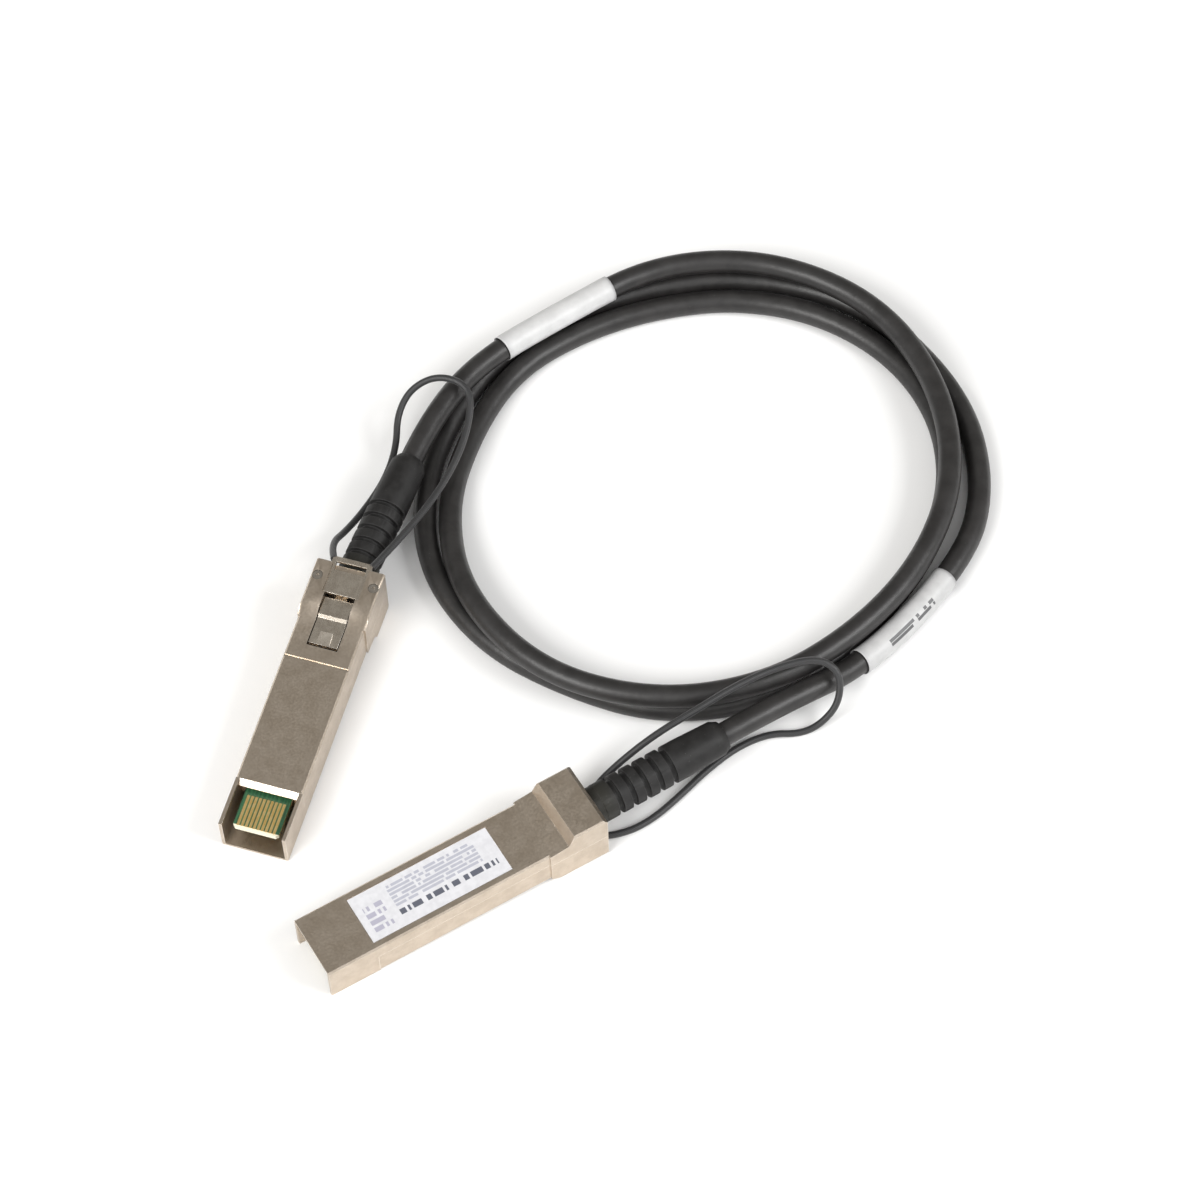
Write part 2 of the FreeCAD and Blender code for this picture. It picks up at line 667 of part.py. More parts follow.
def make_screws(end):
    """Two screws from the latch side that clamp the shells at the head."""
    screws = []
    for side, where in (("left", "screw_spread"), ("right", "-1 * screw_spread")):
        shank = doc.addObject("Part::Cylinder", "shank_%s_%s" % (end, side))
        shank.setExpression("Radius", bound("screw_diameter / 2"))
        shank.setExpression("Height", bound("head_drop + parting_height + screw_reach - fit_gap"))
        head = doc.addObject("Part::Cylinder", "screw_head_%s_%s" % (end, side))
        head.setExpression("Radius", bound("screw_head_diameter / 2"))
        head.setExpression("Height", bound("screw_head_height"))
        socket = doc.addObject("Part::Prism", "screw_socket_%s_%s" % (end, side))
        socket.Polygon = 6
        socket.setExpression("Circumradius", bound("screw_socket / 2"))
        socket.setExpression("Height", bound("screw_head_height"))
        for piece, level in ((shank, "fit_gap - head_drop"), (head, "fit_gap - head_drop"),
                             (socket, "-1 * head_drop - fit_gap")):
            piece.setExpression("Placement.Base.x", bound("screw_position"))
            piece.setExpression("Placement.Base.y", bound(where))
            piece.setExpression("Placement.Base.z", bound(level))
        blank = doc.addObject("Part::Fuse", "screw_blank_%s_%s" % (end, side))
        blank.Base = shank
        blank.Tool = head
        screw = doc.addObject("Part::Cut", "screw_%s_%s" % (end, side))
        screw.Base = blank
        screw.Tool = socket
        screws.append(screw)
    group = doc.addObject("Part::Compound", "shell_screws_" + end)
    group.Links = screws
    return group


# Cable and lanyard routes

def corner_arc(before, corner, after):
    """Start, middle and end of the largest tangent arc at a corner of a route, and its radius."""
    towards = (before - corner).normalize()
    onward = (after - corner).normalize()
    half_turn = (math.pi - towards.getAngle(onward)) / 2
    reach = 0.45 * min((before - corner).Length, (after - corner).Length)
    radius = reach / math.tan(half_turn)
    inward = (towards + onward).normalize()
    middle = corner + inward * (math.hypot(radius, reach) - radius)
    return corner + towards * reach, middle, corner + onward * reach, radius


def round_route(points):
    """Straight runs joined by tangent arcs, each as large as its two runs allow."""
    edges = []
    start = points[0]
    for corner in zip(points, points[1:], points[2:]):
        enter, middle, leave, radius = corner_arc(*corner)
        edges.append(Part.LineSegment(start, enter).toShape())
        edges.append(Part.Arc(enter, middle, leave).toShape())
        start = leave
    edges.append(Part.LineSegment(start, points[-1]).toShape())
    return Part.Wire(edges)


def tube(wire, radius):
    """A round bar swept along a wire."""
    first = wire.Edges[0]
    direction = first.tangentAt(first.FirstParameter)
    ring = Part.Wire(Part.Circle(first.valueAt(first.FirstParameter), direction, radius).toShape())
    solid = wire.makePipeShell([ring], True, False)
    expected = math.pi * radius * radius * wire.Length
    assert abs(solid.Volume - expected) < 0.03 * expected, "tube volume"
    return solid


def make_tube(name, points, diameter):
    route = round_route(points)
    radii = [corner_arc(*corner)[3] for corner in zip(points, points[1:], points[2:])]
    print("%s: bend radii %s mm on %.1f mm" % (name, " ".join("%.0f" % r for r in radii), route.Length))
    cord = doc.addObject("Part::Feature", name)
    cord.Shape = tube(route, diameter / 2)
    return cord


def make_coil():
    """The two turns that lie flat on the table, as one closed ring, wider where they lie side by side."""
    reach = size("cable_diameter") / 2
    spread = size("coil_spread")
    shift = Rotation(Vector(0, 0, 1), size("coil_shift_angle")).multVec(Vector(size("coil_shift"), 0, 0))
    middle = Vector(size("coil_x"), size("coil_y"), 0)
    along = Rotation(Vector(0, 0, 1), size("coil_angle")).multVec(Vector(1, 0, 0))
    across = Vector(-along.y, along.x, 0)

    def ellipse(centre, grow):
        long_radius = size("coil_long_radius") + grow
        short_radius = size("coil_short_radius") + grow
        curve = Part.Ellipse(centre + along * long_radius, centre + across * short_radius, centre)
        return Part.Wire(curve.toShape())

    outer = Part.Face(ellipse(middle + shift, spread / 2 + reach)).extrude(Vector(0, 0, 2 * reach))
    inner = Part.Face(ellipse(middle, -reach)).extrude(Vector(0, 0, 2 * reach))
    ring = outer.cut(inner)
    rims = [edge for edge in ring.Edges if len(edge.Vertexes) == 1]
    coil = doc.addObject("Part::Feature", "cable_coil")
    coil.Shape = ring.makeFillet(0.8 * reach, rims)
    return coil


def make_wrap(name, middle, direction):
    """A label wrapped round a straight stretch of the cable."""
    length = size("wrap_length")
    reach = size("cable_diameter") / 2
    start = middle - direction * (length / 2)
    sleeve = Part.makeCylinder(reach + size("wrap_thickness"), length, start, direction)
    bore = Part.makeCylinder(reach, length, start, direction)
    wrap = doc.addObject("Part::Feature", name)
    wrap.Shape = sleeve.cut(bore)
    return wrap


# Where the two plugs lie: each rests on the edge of its mouth and on its head

def plug_place(end):
    turned = Rotation(Vector(0, 0, 1), size("plug_%s_angle" % end))
    where = Vector(size("plug_%s_x" % end), size("plug_%s_y" % end), 0)
    if end == "b":
        tilt = math.atan2(size("head_drop"), size("stop_position") + size("drop_ramp"))
        lean = Rotation(Vector(0, 1, 0), -math.degrees(tilt))
        return Placement(where, turned.multiply(lean))
    tilt = math.atan2(size("head_rise"), size("head_start") + size("head_ramp"))
    lean = Rotation(Vector(0, 1, 0), -math.degrees(tilt))
    where.z = size("body_height") * math.cos(tilt)
    return Placement(where, turned.multiply(lean).multiply(Rotation(Vector(1, 0, 0), 180)))


nodes = []


def place(piece, where):
    piece.Placement = where
    nodes.append(piece)


def make_plug(end):
    """All rigid pieces of one plug, drawn in its own frame and then set down on the table."""
    here = plug_place(end)
    on_axis = here.multiply(Placement(Vector(0, 0, size("parting_height")), Rotation()))
    for piece in (make_upper_shell(end), make_lower_shell(end), make_paddle_card(end), make_contacts(end),
                  make_wires(end), make_rocker(end), make_slider(end), make_latch_spring(end),
                  make_screws(end)):
        place(piece, here)
    for piece in (make_ferrule(end), make_boot(end), make_cable_end(end)):
        place(piece, on_axis)
    crosswise = Rotation(Vector(1, 0, 0), -90)
    pin_start = Vector(size("pivot_position"), -size("pin_length") / 2, size("pivot_height"))
    place(make_latch_pin(end), here.multiply(Placement(pin_start, crosswise)))
    if end == "b":
        place(make_plug_label(), here)
    return here


place_a = make_plug("a")
place_b = make_plug("b")

# The cable outside the plugs. Lead a leaves its boot, runs once round on top of the coil and dips into it.
# Lead b leaves the outer turn of the coil and comes down to its boot along the table.

def lead_start(end, where):
    """The end of a boot and a point straight on from it, where the cable starts to bend."""
    axis = Vector(0, 0, size("parting_height"))
    start, bend, tip = bent_end(end)
    past_tip = tip + (tip - bend).normalize() * size("lead_%s_straight" % end)
    return [where.multVec(tip + axis), where.multVec(past_tip + axis)]


lead_a_points = lead_start("a", place_a) + [
    Vector(-0.6, 82.6, 8.0),
    Vector(14.8, 94.0, 7.75),
    Vector(34.6, 107.6, 7.5),
    Vector(58.4, 109.4, 7.2),
    Vector(80.4, 98.3, 7.2),
    Vector(92.6, 77.4, 7.2),
    Vector(94.8, 54.6, 7.2),
    Vector(87.7, 34.4, 7.2),
    Vector(74.6, 17.9, 7.4),
    Vector(56.7, 5.4, 7.4),
    Vector(34.3, 1.4, 7.2),
    Vector(11.5, 8.3, 7.2),
    Vector(-3.9, 27.0, 6.6),
    Vector(-7.4, 50.1, 3.0),
    Vector(-2.0, 70.0, 2.4),
]
lead_b_points = lead_start("b", place_b) + [
    Vector(76.0, 13.0, 2.9),
    Vector(96.1, 37.4, 2.9),
    Vector(101.0, 55.2, 2.4),
    Vector(97.9, 75.9, 2.4),
    Vector(85.2, 94.4, 2.4),
]
place(make_tube("cable_lead_a", lead_a_points, size("cable_diameter")), Placement())
place(make_tube("cable_lead_b", lead_b_points, size("cable_diameter")), Placement())
place(make_coil(), Placement())

label_a_run = lead_a_points[4] - lead_a_points[2]
label_a_middle = corner_arc(*lead_a_points[2:5])[1]
place(make_wrap("cable_label_a", label_a_middle, label_a_run.normalize()), Placement())
label_b_run = lead_b_points[3] - lead_b_points[2]
label_b_run.normalize()
label_b_middle = lead_b_points[2] + label_b_run * size("wrap_b_place")
place(make_wrap("cable_label_b", label_b_middle, label_b_run), Placement())

# The pull lanyards: from one end of the slider's rear bar round the cable to the other end

bar = Vector(size("slider_end") - size("slider_bar") / 2, size("lanyard_spread"),
             size("slider_recess") - size("head_drop") + size("slider_thickness") / 2)
other_bar = Vector(bar.x, -bar.y, bar.z)
lanyard_a_points = [
    place_a.multVec(other_bar),
    Vector(-30.2, 36.6, 9.8),
    Vector(-27.8, 42.6, 5.8),
    Vector(-24.2, 49.4, 4.2),
    Vector(-20.5, 56.5, 4.2),
    Vector(-18.0, 63.3, 5.2),
    Vector(-17.4, 69.6, 7.4),
    Vector(-14.6, 74.2, 10.4),
    Vector(-8.8, 75.8, 13.3),
    Vector(-2.2, 73.0, 12.8),
    Vector(-3.0, 63.6, 9.6),
    Vector(-7.4, 52.4, 8.4),
    Vector(-14.4, 39.4, 10.4),
    place_a.multVec(bar),
]
lanyard_b_points = [
    place_b.multVec(other_bar),
    Vector(28.4, -24.4, 1.0),
    Vector(34.0, -21.4, 1.0),
    Vector(39.4, -16.0, 1.0),
    Vector(44.6, -10.6, 1.0),
    Vector(50.6, -6.4, 1.0),
    Vector(56.6, -3.8, 1.0),
    Vector(62.6, -2.6, 1.0),
    Vector(67.8, 0.0, 1.8),
    Vector(71.6, 3.2, 5.6),
    Vector(71.2, 7.0, 10.8),
    Vector(66.4, 8.6, 13.4),
    Vector(58.0, 6.2, 13.4),
    Vector(49.6, 2.0, 13.0),
    Vector(41.8, -2.8, 11.4),
    Vector(34.5, -6.9, 9.6),
    Vector(28.0, -10.6, 5.8),
    Vector(22.4, -14.6, 2.2),
    place_b.multVec(bar),
]
place(make_tube("lanyard_a", lanyard_a_points, size("lanyard_diameter")), Placement())
place(make_tube("lanyard_b", lanyard_b_points, size("lanyard_diameter")), Placement())

# Checks and export

doc.recompute()
for item in doc.Objects:
    assert "Invalid" not in item.State and "Error" not in item.State, item.Name
for node in nodes:
    shape = node.Shape
    assert not shape.isNull() and shape.isValid(), node.Name
    shape.exportStep("parts/%s.step" % node.Name)
    print("%-20s %2d solids  %9.2f mm3" % (node.Name, len(shape.Solids), shape.Volume))
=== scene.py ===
import math

import bpy
from mathutils import Euler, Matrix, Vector


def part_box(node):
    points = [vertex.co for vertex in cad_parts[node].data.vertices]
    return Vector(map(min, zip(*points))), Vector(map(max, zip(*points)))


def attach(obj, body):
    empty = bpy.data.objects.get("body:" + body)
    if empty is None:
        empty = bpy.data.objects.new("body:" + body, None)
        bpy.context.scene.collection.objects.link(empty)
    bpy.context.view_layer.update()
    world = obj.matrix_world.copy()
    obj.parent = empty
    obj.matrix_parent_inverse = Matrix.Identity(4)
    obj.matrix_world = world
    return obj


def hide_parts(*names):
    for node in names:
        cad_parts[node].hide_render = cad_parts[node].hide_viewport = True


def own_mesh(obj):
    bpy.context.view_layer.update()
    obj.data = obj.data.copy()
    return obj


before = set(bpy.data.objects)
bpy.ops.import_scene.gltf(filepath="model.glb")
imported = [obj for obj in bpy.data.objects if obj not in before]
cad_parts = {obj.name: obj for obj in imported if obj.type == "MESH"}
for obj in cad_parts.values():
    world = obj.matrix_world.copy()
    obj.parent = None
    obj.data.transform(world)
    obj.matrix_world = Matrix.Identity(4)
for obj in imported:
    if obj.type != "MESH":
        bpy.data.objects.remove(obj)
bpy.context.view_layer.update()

# A coiled direct attach network cable on a white table, seen from the front and above.
# Sizes are in millimetres. Only the camera, the lamps and the reach of the table are in metres.

MM = 0.001
FIXED_BODY = "cable_assembly"
ENDS = ("a", "b")


# Where the two plugs lie, as in the part: each in its own frame, x from the mouth to the cable,
# y across, z from the latch side to the label side. A plug rests on the edge of its mouth and on its
# thicker head, so it tilts by the head's rise over its distance from the mouth.

BODY_HEIGHT = 8.5
TILT_A = math.atan2(2.8, 52.9)
TILT_B = math.atan2(1.3, 50.0)
PLUG_TURN = {
    "a": Euler((math.pi, -TILT_A, math.radians(73.4))),
    "b": Euler((0.0, -TILT_B, math.radians(30.8))),
}
PLUG_PLACE = {
    "a": Vector((-42.2, -28.24, BODY_HEIGHT * math.cos(TILT_A))),
    "b": Vector((-29.8, -52.64, 0.0)),
}
CARD_FRONT = 1.4
CARD_MIDDLE = 2.75
CONTACT_PITCH = 0.8
CABLE_AXIS = 5.2
BOOT_BEND = 62.3
BOOT_TAIL = 27.7
BOOT_LEAN = {"a": math.radians(4.5), "b": math.radians(1.0)}


def on_plug(end, x, y, z):
    """A point of a plug's own frame, in the frame of the table."""
    return PLUG_PLACE[end] + PLUG_TURN[end].to_matrix() @ Vector((x, y, z))


def on_boot(end, distance):
    """A point on the axis of a boot's leaning tail, at a distance from its bend."""
    lean = BOOT_LEAN[end]
    return on_plug(end, BOOT_BEND + distance * math.cos(lean), distance * math.sin(lean), CABLE_AXIS)


# The camera

CAMERA_ELEVATION = math.radians(57.0)
CAMERA_DISTANCE = 0.8
CAMERA_TARGET = Vector((0.0236, 0.0296, 0.0))
CAMERA_LENS = 120.96
CAMERA_SENSOR = 36.0
CAMERA_NEAREST = 0.01
CAMERA_FURTHEST = 50.0


def make_camera():
    data = bpy.data.cameras.new("camera")
    data.sensor_width = CAMERA_SENSOR
    data.lens = CAMERA_LENS
    data.clip_start = CAMERA_NEAREST
    data.clip_end = CAMERA_FURTHEST
    camera = bpy.data.objects.new("camera", data)
    back = Vector((0.0, -math.cos(CAMERA_ELEVATION), math.sin(CAMERA_ELEVATION)))
    camera.location = CAMERA_TARGET + back * CAMERA_DISTANCE
    camera.rotation_euler = (-back).to_track_quat("-Z", "Y").to_euler()
    bpy.context.scene.collection.objects.link(camera)
    bpy.context.scene.camera = camera


make_camera()


# Node helpers

# The mix node's sockets for colours and for plain values, and where a noise's values mostly lie
MIX_COLOURS = (6, 7)
MIX_COLOUR_OUT = 2
MIX_VALUES = (2, 3)
GRAIN_SPREAD = (0.3, 0.7)


class Nodes:
    """Short ways to lay out the nodes of one material, world or group."""

    def __init__(self, tree):
        self.tree = tree
        tree.nodes.clear()

    def add(self, kind, **settings):
        node = self.tree.nodes.new(kind)
        for name, value in settings.items():
            setattr(node, name, value)
        return node

    def put(self, value, socket):
        """Links a socket to another, or sets a constant on it."""
        if isinstance(value, bpy.types.NodeSocket):
            self.tree.links.new(value, socket)
        else:
            socket.default_value = value

    def calc(self, operation, a, b=0.0, clamp=False):
        node = self.add("ShaderNodeMath", operation=operation, use_clamp=clamp)
        self.put(a, node.inputs[0])
        self.put(b, node.inputs[1])
        return node.outputs[0]

    def times(self, a, b):
        return self.calc("MULTIPLY", a, b)

    def away_from(self, value, middle):
        """How far a value is from a middle one, to either side."""
        return self.calc("ABSOLUTE", self.calc("SUBTRACT", value, middle))

    def stretch(self, value, low, high, new_low=0.0, new_high=1.0):
        """Maps a range of values smoothly to another and holds it at its ends."""
        node = self.add("ShaderNodeMapRange", clamp=True, interpolation_type="SMOOTHSTEP")
        for item, socket in zip((value, low, high, new_low, new_high), node.inputs):
            self.put(item, socket)
        return node.outputs[0]

    def blend(self, share, first, second):
        """A colour between two."""
        node = self.add("ShaderNodeMix", data_type="RGBA")
        self.put(share, node.inputs[0])
        for colour, socket in zip((first, second), MIX_COLOURS):
            self.put(colour, node.inputs[socket])
        return node.outputs[MIX_COLOUR_OUT]

    def vary(self, mask, outside, inside):
        """A value that changes to another inside a mask."""
        node = self.add("ShaderNodeMix", data_type="FLOAT")
        self.put(mask, node.inputs[0])
        for value, socket in zip((outside, inside), MIX_VALUES):
            self.put(value, node.inputs[socket])
        return node.outputs[0]

    def tinted(self, colour, tint, where, share):
        """A colour with another laid over it where a mask is, at a share of its strength."""
        return self.blend(self.times(where, share), colour, tint)

    def mottled(self, grain, dim, pale):
        """A colour that drifts between two with the coarse blotches of a grain."""
        return self.blend(self.stretch(grain["Coarse"], *GRAIN_SPREAD), dim, pale)

    def uneven(self, noise, low, high):
        """A value that drifts between two with a noise."""
        return self.stretch(noise, *GRAIN_SPREAD, low, high)

    def noise(self, vector, scale, detail=1.0, roughness=0.55):
        node = self.add("ShaderNodeTexNoise")
        self.put(vector, node.inputs["Vector"])
        self.put(scale, node.inputs["Scale"])
        node.inputs["Detail"].default_value = detail
        node.inputs["Roughness"].default_value = roughness
        return node.outputs["Fac"]

    def scaled(self, vector, factors):
        node = self.add("ShaderNodeVectorMath", operation="MULTIPLY")
        self.put(vector, node.inputs[0])
        node.inputs[1].default_value = factors
        return node.outputs[0]

    def parts(self, vector):
        node = self.add("ShaderNodeSeparateXYZ")
        self.put(vector, node.inputs[0])
        return node.outputs

    def bump(self, height, strength, depth):
        """A normal that follows a height, whose depth is in millimetres."""
        node = self.add("ShaderNodeBump")
        node.inputs["Strength"].default_value = strength
        node.inputs["Distance"].default_value = depth * MM
        self.put(height, node.inputs["Height"])
        return node.outputs["Normal"]

    def group(self, tree, **values):
        """An effect shared by several materials, with its inputs set by name."""
        node = self.add("ShaderNodeGroup", node_tree=tree)
        for name, value in values.items():
            self.put(value, node.inputs[name])
        return node.outputs

    def table_millimetres(self):
        """Coordinates in the frame of the table, in millimetres."""
        place = self.add("ShaderNodeTexCoord").outputs["Object"]
        return self.scaled(place, (1 / MM, 1 / MM, 1 / MM))

    def plug_millimetres(self, end):
        """Coordinates in a plug's own frame, in millimetres."""
        node = self.add("ShaderNodeMapping", vector_type="TEXTURE")
        self.put(self.add("ShaderNodeTexCoord").outputs["Object"], node.inputs["Vector"])
        node.inputs["Location"].default_value = PLUG_PLACE[end] * MM
        node.inputs["Rotation"].default_value = PLUG_TURN[end]
        node.inputs["Scale"].default_value = (MM, MM, MM)
        return node.outputs[0]

    def surface(self, **values):
        """The material's own shader, and the socket that takes it."""
        shader = self.add("ShaderNodeBsdfPrincipled")
        for name, value in values.items():
            self.put(value, shader.inputs[name.replace("_", " ")])
        out = self.add("ShaderNodeOutputMaterial")
        self.put(shader.outputs[0], out.inputs["Surface"])
        return shader.outputs[0], out.inputs["Surface"]


def new_group(name, inputs, outputs):
    """An empty node group with named inputs and outputs, all plain values but Vector, and its end nodes."""
    tree = bpy.data.node_groups.new(name, "ShaderNodeTree")
    for label in inputs:
        kind = "NodeSocketVector" if label == "Vector" else "NodeSocketFloat"
        tree.interface.new_socket(name=label, in_out="INPUT", socket_type=kind)
    for label in outputs:
        tree.interface.new_socket(name=label, in_out="OUTPUT", socket_type="NodeSocketFloat")
    nodes = Nodes(tree)
    return tree, nodes, nodes.add("NodeGroupInput").outputs, nodes.add("NodeGroupOutput").inputs


def new_material(name):
    material = bpy.data.materials.new(name)
    material.use_nodes = True
    return material, Nodes(material.node_tree)


# Shared effects

# How much finer the fine grain is than the coarse one, and its share of the height
FINE_GRAIN_SCALE = 7.0
FINE_GRAIN_SHARE = 0.65

# Drawn lines and the patches where they show: how each noise is drawn out along the three axes,
# and the values between which it comes up
STREAK_DRAW = (0.05, 9.0, 9.0)
STREAK_SPREAD = (0.56, 0.72)
PATCH_DRAW = (0.3, 0.6, 0.6)
PATCH_SPREAD = (0.4, 0.65)

# How well the rounded normal agrees with the surface's own: on a flat, and where an edge is fully rubbed
# and carries the full painted highlight
EDGE_FLAT = 0.995
EDGE_TURNED = 0.86
EDGE_SAMPLES = 4

# The share of cells that hold no speck
SPECK_RARITY = 0.72


def make_grain():
    """Coarse and fine mottling of a cast or moulded surface."""
    tree, nodes, given, out = new_group("mottled grain", ("Vector", "Scale"), ("Coarse", "Fine", "Height"))
    coarse = nodes.noise(given["Vector"], given["Scale"], detail=3.0, roughness=0.6)
    fine_scale = nodes.times(given["Scale"], FINE_GRAIN_SCALE)
    fine = nodes.noise(given["Vector"], fine_scale, detail=2.0, roughness=0.5)
    nodes.put(coarse, out["Coarse"])
    nodes.put(fine, out["Fine"])
    nodes.put(nodes.vary(FINE_GRAIN_SHARE, coarse, fine), out["Height"])
    return tree


def make_streaks():
    """Fine drawn lines along x, as on stamped or handled metal."""
    tree, nodes, given, out = new_group("drawn streaks", ("Vector", "Amount"), ("Mask", "Height"))
    lines = nodes.noise(nodes.scaled(given["Vector"], STREAK_DRAW), 1.0, detail=2.0, roughness=0.7)
    patches = nodes.noise(nodes.scaled(given["Vector"], PATCH_DRAW), 1.0)
    mask = nodes.times(nodes.stretch(lines, *STREAK_SPREAD), nodes.stretch(patches, *PATCH_SPREAD))
    nodes.put(nodes.times(mask, given["Amount"]), out["Mask"])
    nodes.put(lines, out["Height"])
    return tree


def make_rubbed_and_highlit_edges():
    """Where an edge turns, so that plating or moulding is rubbed lighter and a painted highlight lies along
    it.
    """
    tree, nodes, given, out = new_group("rubbed edges and painted highlight", ("Radius",), ("Mask",))
    rounded = nodes.add("ShaderNodeBevel", samples=EDGE_SAMPLES)
    nodes.put(given["Radius"], rounded.inputs["Radius"])
    dot = nodes.add("ShaderNodeVectorMath", operation="DOT_PRODUCT")
    nodes.put(rounded.outputs[0], dot.inputs[0])
    nodes.put(nodes.add("ShaderNodeNewGeometry").outputs["Normal"], dot.inputs[1])
    # The mask lightens edges: partly wear, partly a painted highlight of the rounding
    nodes.put(nodes.stretch(dot.outputs["Value"], EDGE_FLAT, EDGE_TURNED), out["Mask"])
    return tree


def make_specks():
    """Small scattered specks of dust or pits."""
    tree, nodes, given, out = new_group("scattered specks", ("Vector", "Scale", "Size"), ("Mask",))
    cells = nodes.add("ShaderNodeTexVoronoi")
    nodes.put(given["Vector"], cells.inputs["Vector"])
    nodes.put(given["Scale"], cells.inputs["Scale"])
    near = nodes.calc("LESS_THAN", cells.outputs["Distance"], given["Size"])
    chosen = nodes.calc("GREATER_THAN", nodes.parts(cells.outputs["Color"])[0], SPECK_RARITY)
    nodes.put(nodes.times(near, chosen), out["Mask"])
    return tree


def make_printed_rows():
    """Rows of broken bars inside a rectangle, as a stand-in for small print."""
    inputs = ("Across", "Up", "Left", "Right", "Low", "High", "Rows", "Fill", "Bar", "Ink")
    tree, nodes, given, out = new_group("printed rows", inputs, ("Mask",))
    inside = 1.0
    for name, low, high in (("Across", "Left", "Right"), ("Up", "Low", "High")):
        over = nodes.calc("GREATER_THAN", given[name], given[low])
        under = nodes.calc("LESS_THAN", given[name], given[high])
        inside = nodes.times(inside, nodes.times(over, under))
    rise = nodes.calc("SUBTRACT", given["Up"], given["Low"])
    whole = nodes.calc("SUBTRACT", given["High"], given["Low"])
    row = nodes.times(nodes.calc("DIVIDE", rise, whole), given["Rows"])
    in_row = nodes.calc("LESS_THAN", nodes.calc("FRACT", row), given["Fill"])
    bar = nodes.calc("FLOOR", nodes.calc("DIVIDE", given["Across"], given["Bar"]))
    place = nodes.add("ShaderNodeCombineXYZ")
    nodes.put(bar, place.inputs[0])
    nodes.put(nodes.calc("FLOOR", row), place.inputs[1])
    chance = nodes.add("ShaderNodeTexWhiteNoise", noise_dimensions="2D")
    nodes.put(place.outputs[0], chance.inputs["Vector"])
    inked = nodes.calc("LESS_THAN", chance.outputs["Value"], given["Ink"])
    nodes.put(nodes.times(inside, nodes.times(in_row, inked)), out["Mask"])
    return tree


GRAIN = make_grain()
STREAKS = make_streaks()
WORN_AND_HIGHLIT_EDGES = make_rubbed_and_highlit_edges()
SPECKS = make_specks()
PRINT = make_printed_rows()


# Materials, each with its colours

CASTING_DIM = (0.505, 0.428, 0.345, 1)
CASTING_PALE = (0.585, 0.505, 0.418, 1)
CASTING_PIT = (0.27, 0.225, 0.18, 1)
CASTING_RUBBED_AND_HIGHLIT = (0.84, 0.78, 0.70, 1)


def make_shell_material(end):
    """Satin nickel plate on a die casting: fine grain, faint blotches, edges made bright by rubbing and by
    a painted highlight.
    """
    material, nodes = new_material("plated_casting_" + end)
    place = nodes.plug_millimetres(end)
    grain = nodes.group(GRAIN, Vector=place, Scale=0.32)
    streaks = nodes.group(STREAKS, Vector=place, Amount=0.5)
    edge = nodes.group(WORN_AND_HIGHLIT_EDGES, Radius=0.25 * MM)["Mask"]
    pits = nodes.group(SPECKS, Vector=place, Scale=1.6, Size=0.12)["Mask"]
    colour = nodes.mottled(grain, CASTING_DIM, CASTING_PALE)
    colour = nodes.tinted(colour, CASTING_PIT, where=pits, share=0.35)
    # Edges lighter: partly rubbed plating, partly a painted highlight
    colour = nodes.tinted(colour, CASTING_RUBBED_AND_HIGHLIT, where=edge, share=0.7)
    satin = nodes.stretch(grain["Fine"], low=0.25, high=0.75, new_low=0.30, new_high=0.44)
    rough = nodes.vary(nodes.calc("MAXIMUM", streaks["Mask"], edge), outside=satin, inside=0.22)
    nodes.surface(Base_Color=colour, Metallic=1.0, Roughness=rough,
                  Normal=nodes.bump(grain["Height"], strength=0.25, depth=0.05))
    return material


STAMPING_DIM = (0.52, 0.46, 0.39, 1)
STAMPING_PALE = (0.64, 0.58, 0.50, 1)
STAMPING_RUBBED_AND_HIGHLIT = (0.88, 0.84, 0.78, 1)


def make_stamping_material(end):
    """Plated steel sheet, drawn lengthwise, with cut edges made bright by wear and by a painted highlight.
    """
    material, nodes = new_material("plated_stamping_" + end)
    place = nodes.plug_millimetres(end)
    streaks = nodes.group(STREAKS, Vector=place, Amount=0.8)
    grain = nodes.group(GRAIN, Vector=place, Scale=0.6)
    edge = nodes.group(WORN_AND_HIGHLIT_EDGES, Radius=0.15 * MM)["Mask"]
    colour = nodes.mottled(grain, STAMPING_DIM, STAMPING_PALE)
    # Edges lighter: partly wear, partly a painted highlight
    colour = nodes.tinted(colour, STAMPING_RUBBED_AND_HIGHLIT, where=edge, share=0.8)
    satin = nodes.uneven(grain["Fine"], low=0.24, high=0.36)
    rough = nodes.vary(streaks["Mask"], outside=satin, inside=0.5)
    nodes.surface(Base_Color=colour, Metallic=1.0, Roughness=rough,
                  Normal=nodes.bump(streaks["Height"], strength=0.15, depth=0.03))
    return material


SPRING_BRIGHT = (0.72, 0.71, 0.70, 1)
SPRING_STREAK = (0.55, 0.53, 0.50, 1)


def make_spring_material(end):
    """Bright rolled spring strip."""
    material, nodes = new_material("spring_strip_" + end)
    place = nodes.plug_millimetres(end)
    streaks = nodes.group(STREAKS, Vector=place, Amount=1.0)
    colour = nodes.blend(streaks["Mask"], SPRING_BRIGHT, SPRING_STREAK)
    rough = nodes.vary(streaks["Mask"], outside=0.2, inside=0.38)
    nodes.surface(Base_Color=colour, Metallic=1.0, Roughness=rough,
                  Normal=nodes.bump(streaks["Height"], strength=0.1, depth=0.02))
    return material


SCREW_DIM = (0.38, 0.35, 0.31, 1)
SCREW_PALE = (0.50, 0.46, 0.41, 1)
SCREW_RUBBED_AND_HIGHLIT = (0.75, 0.71, 0.65, 1)


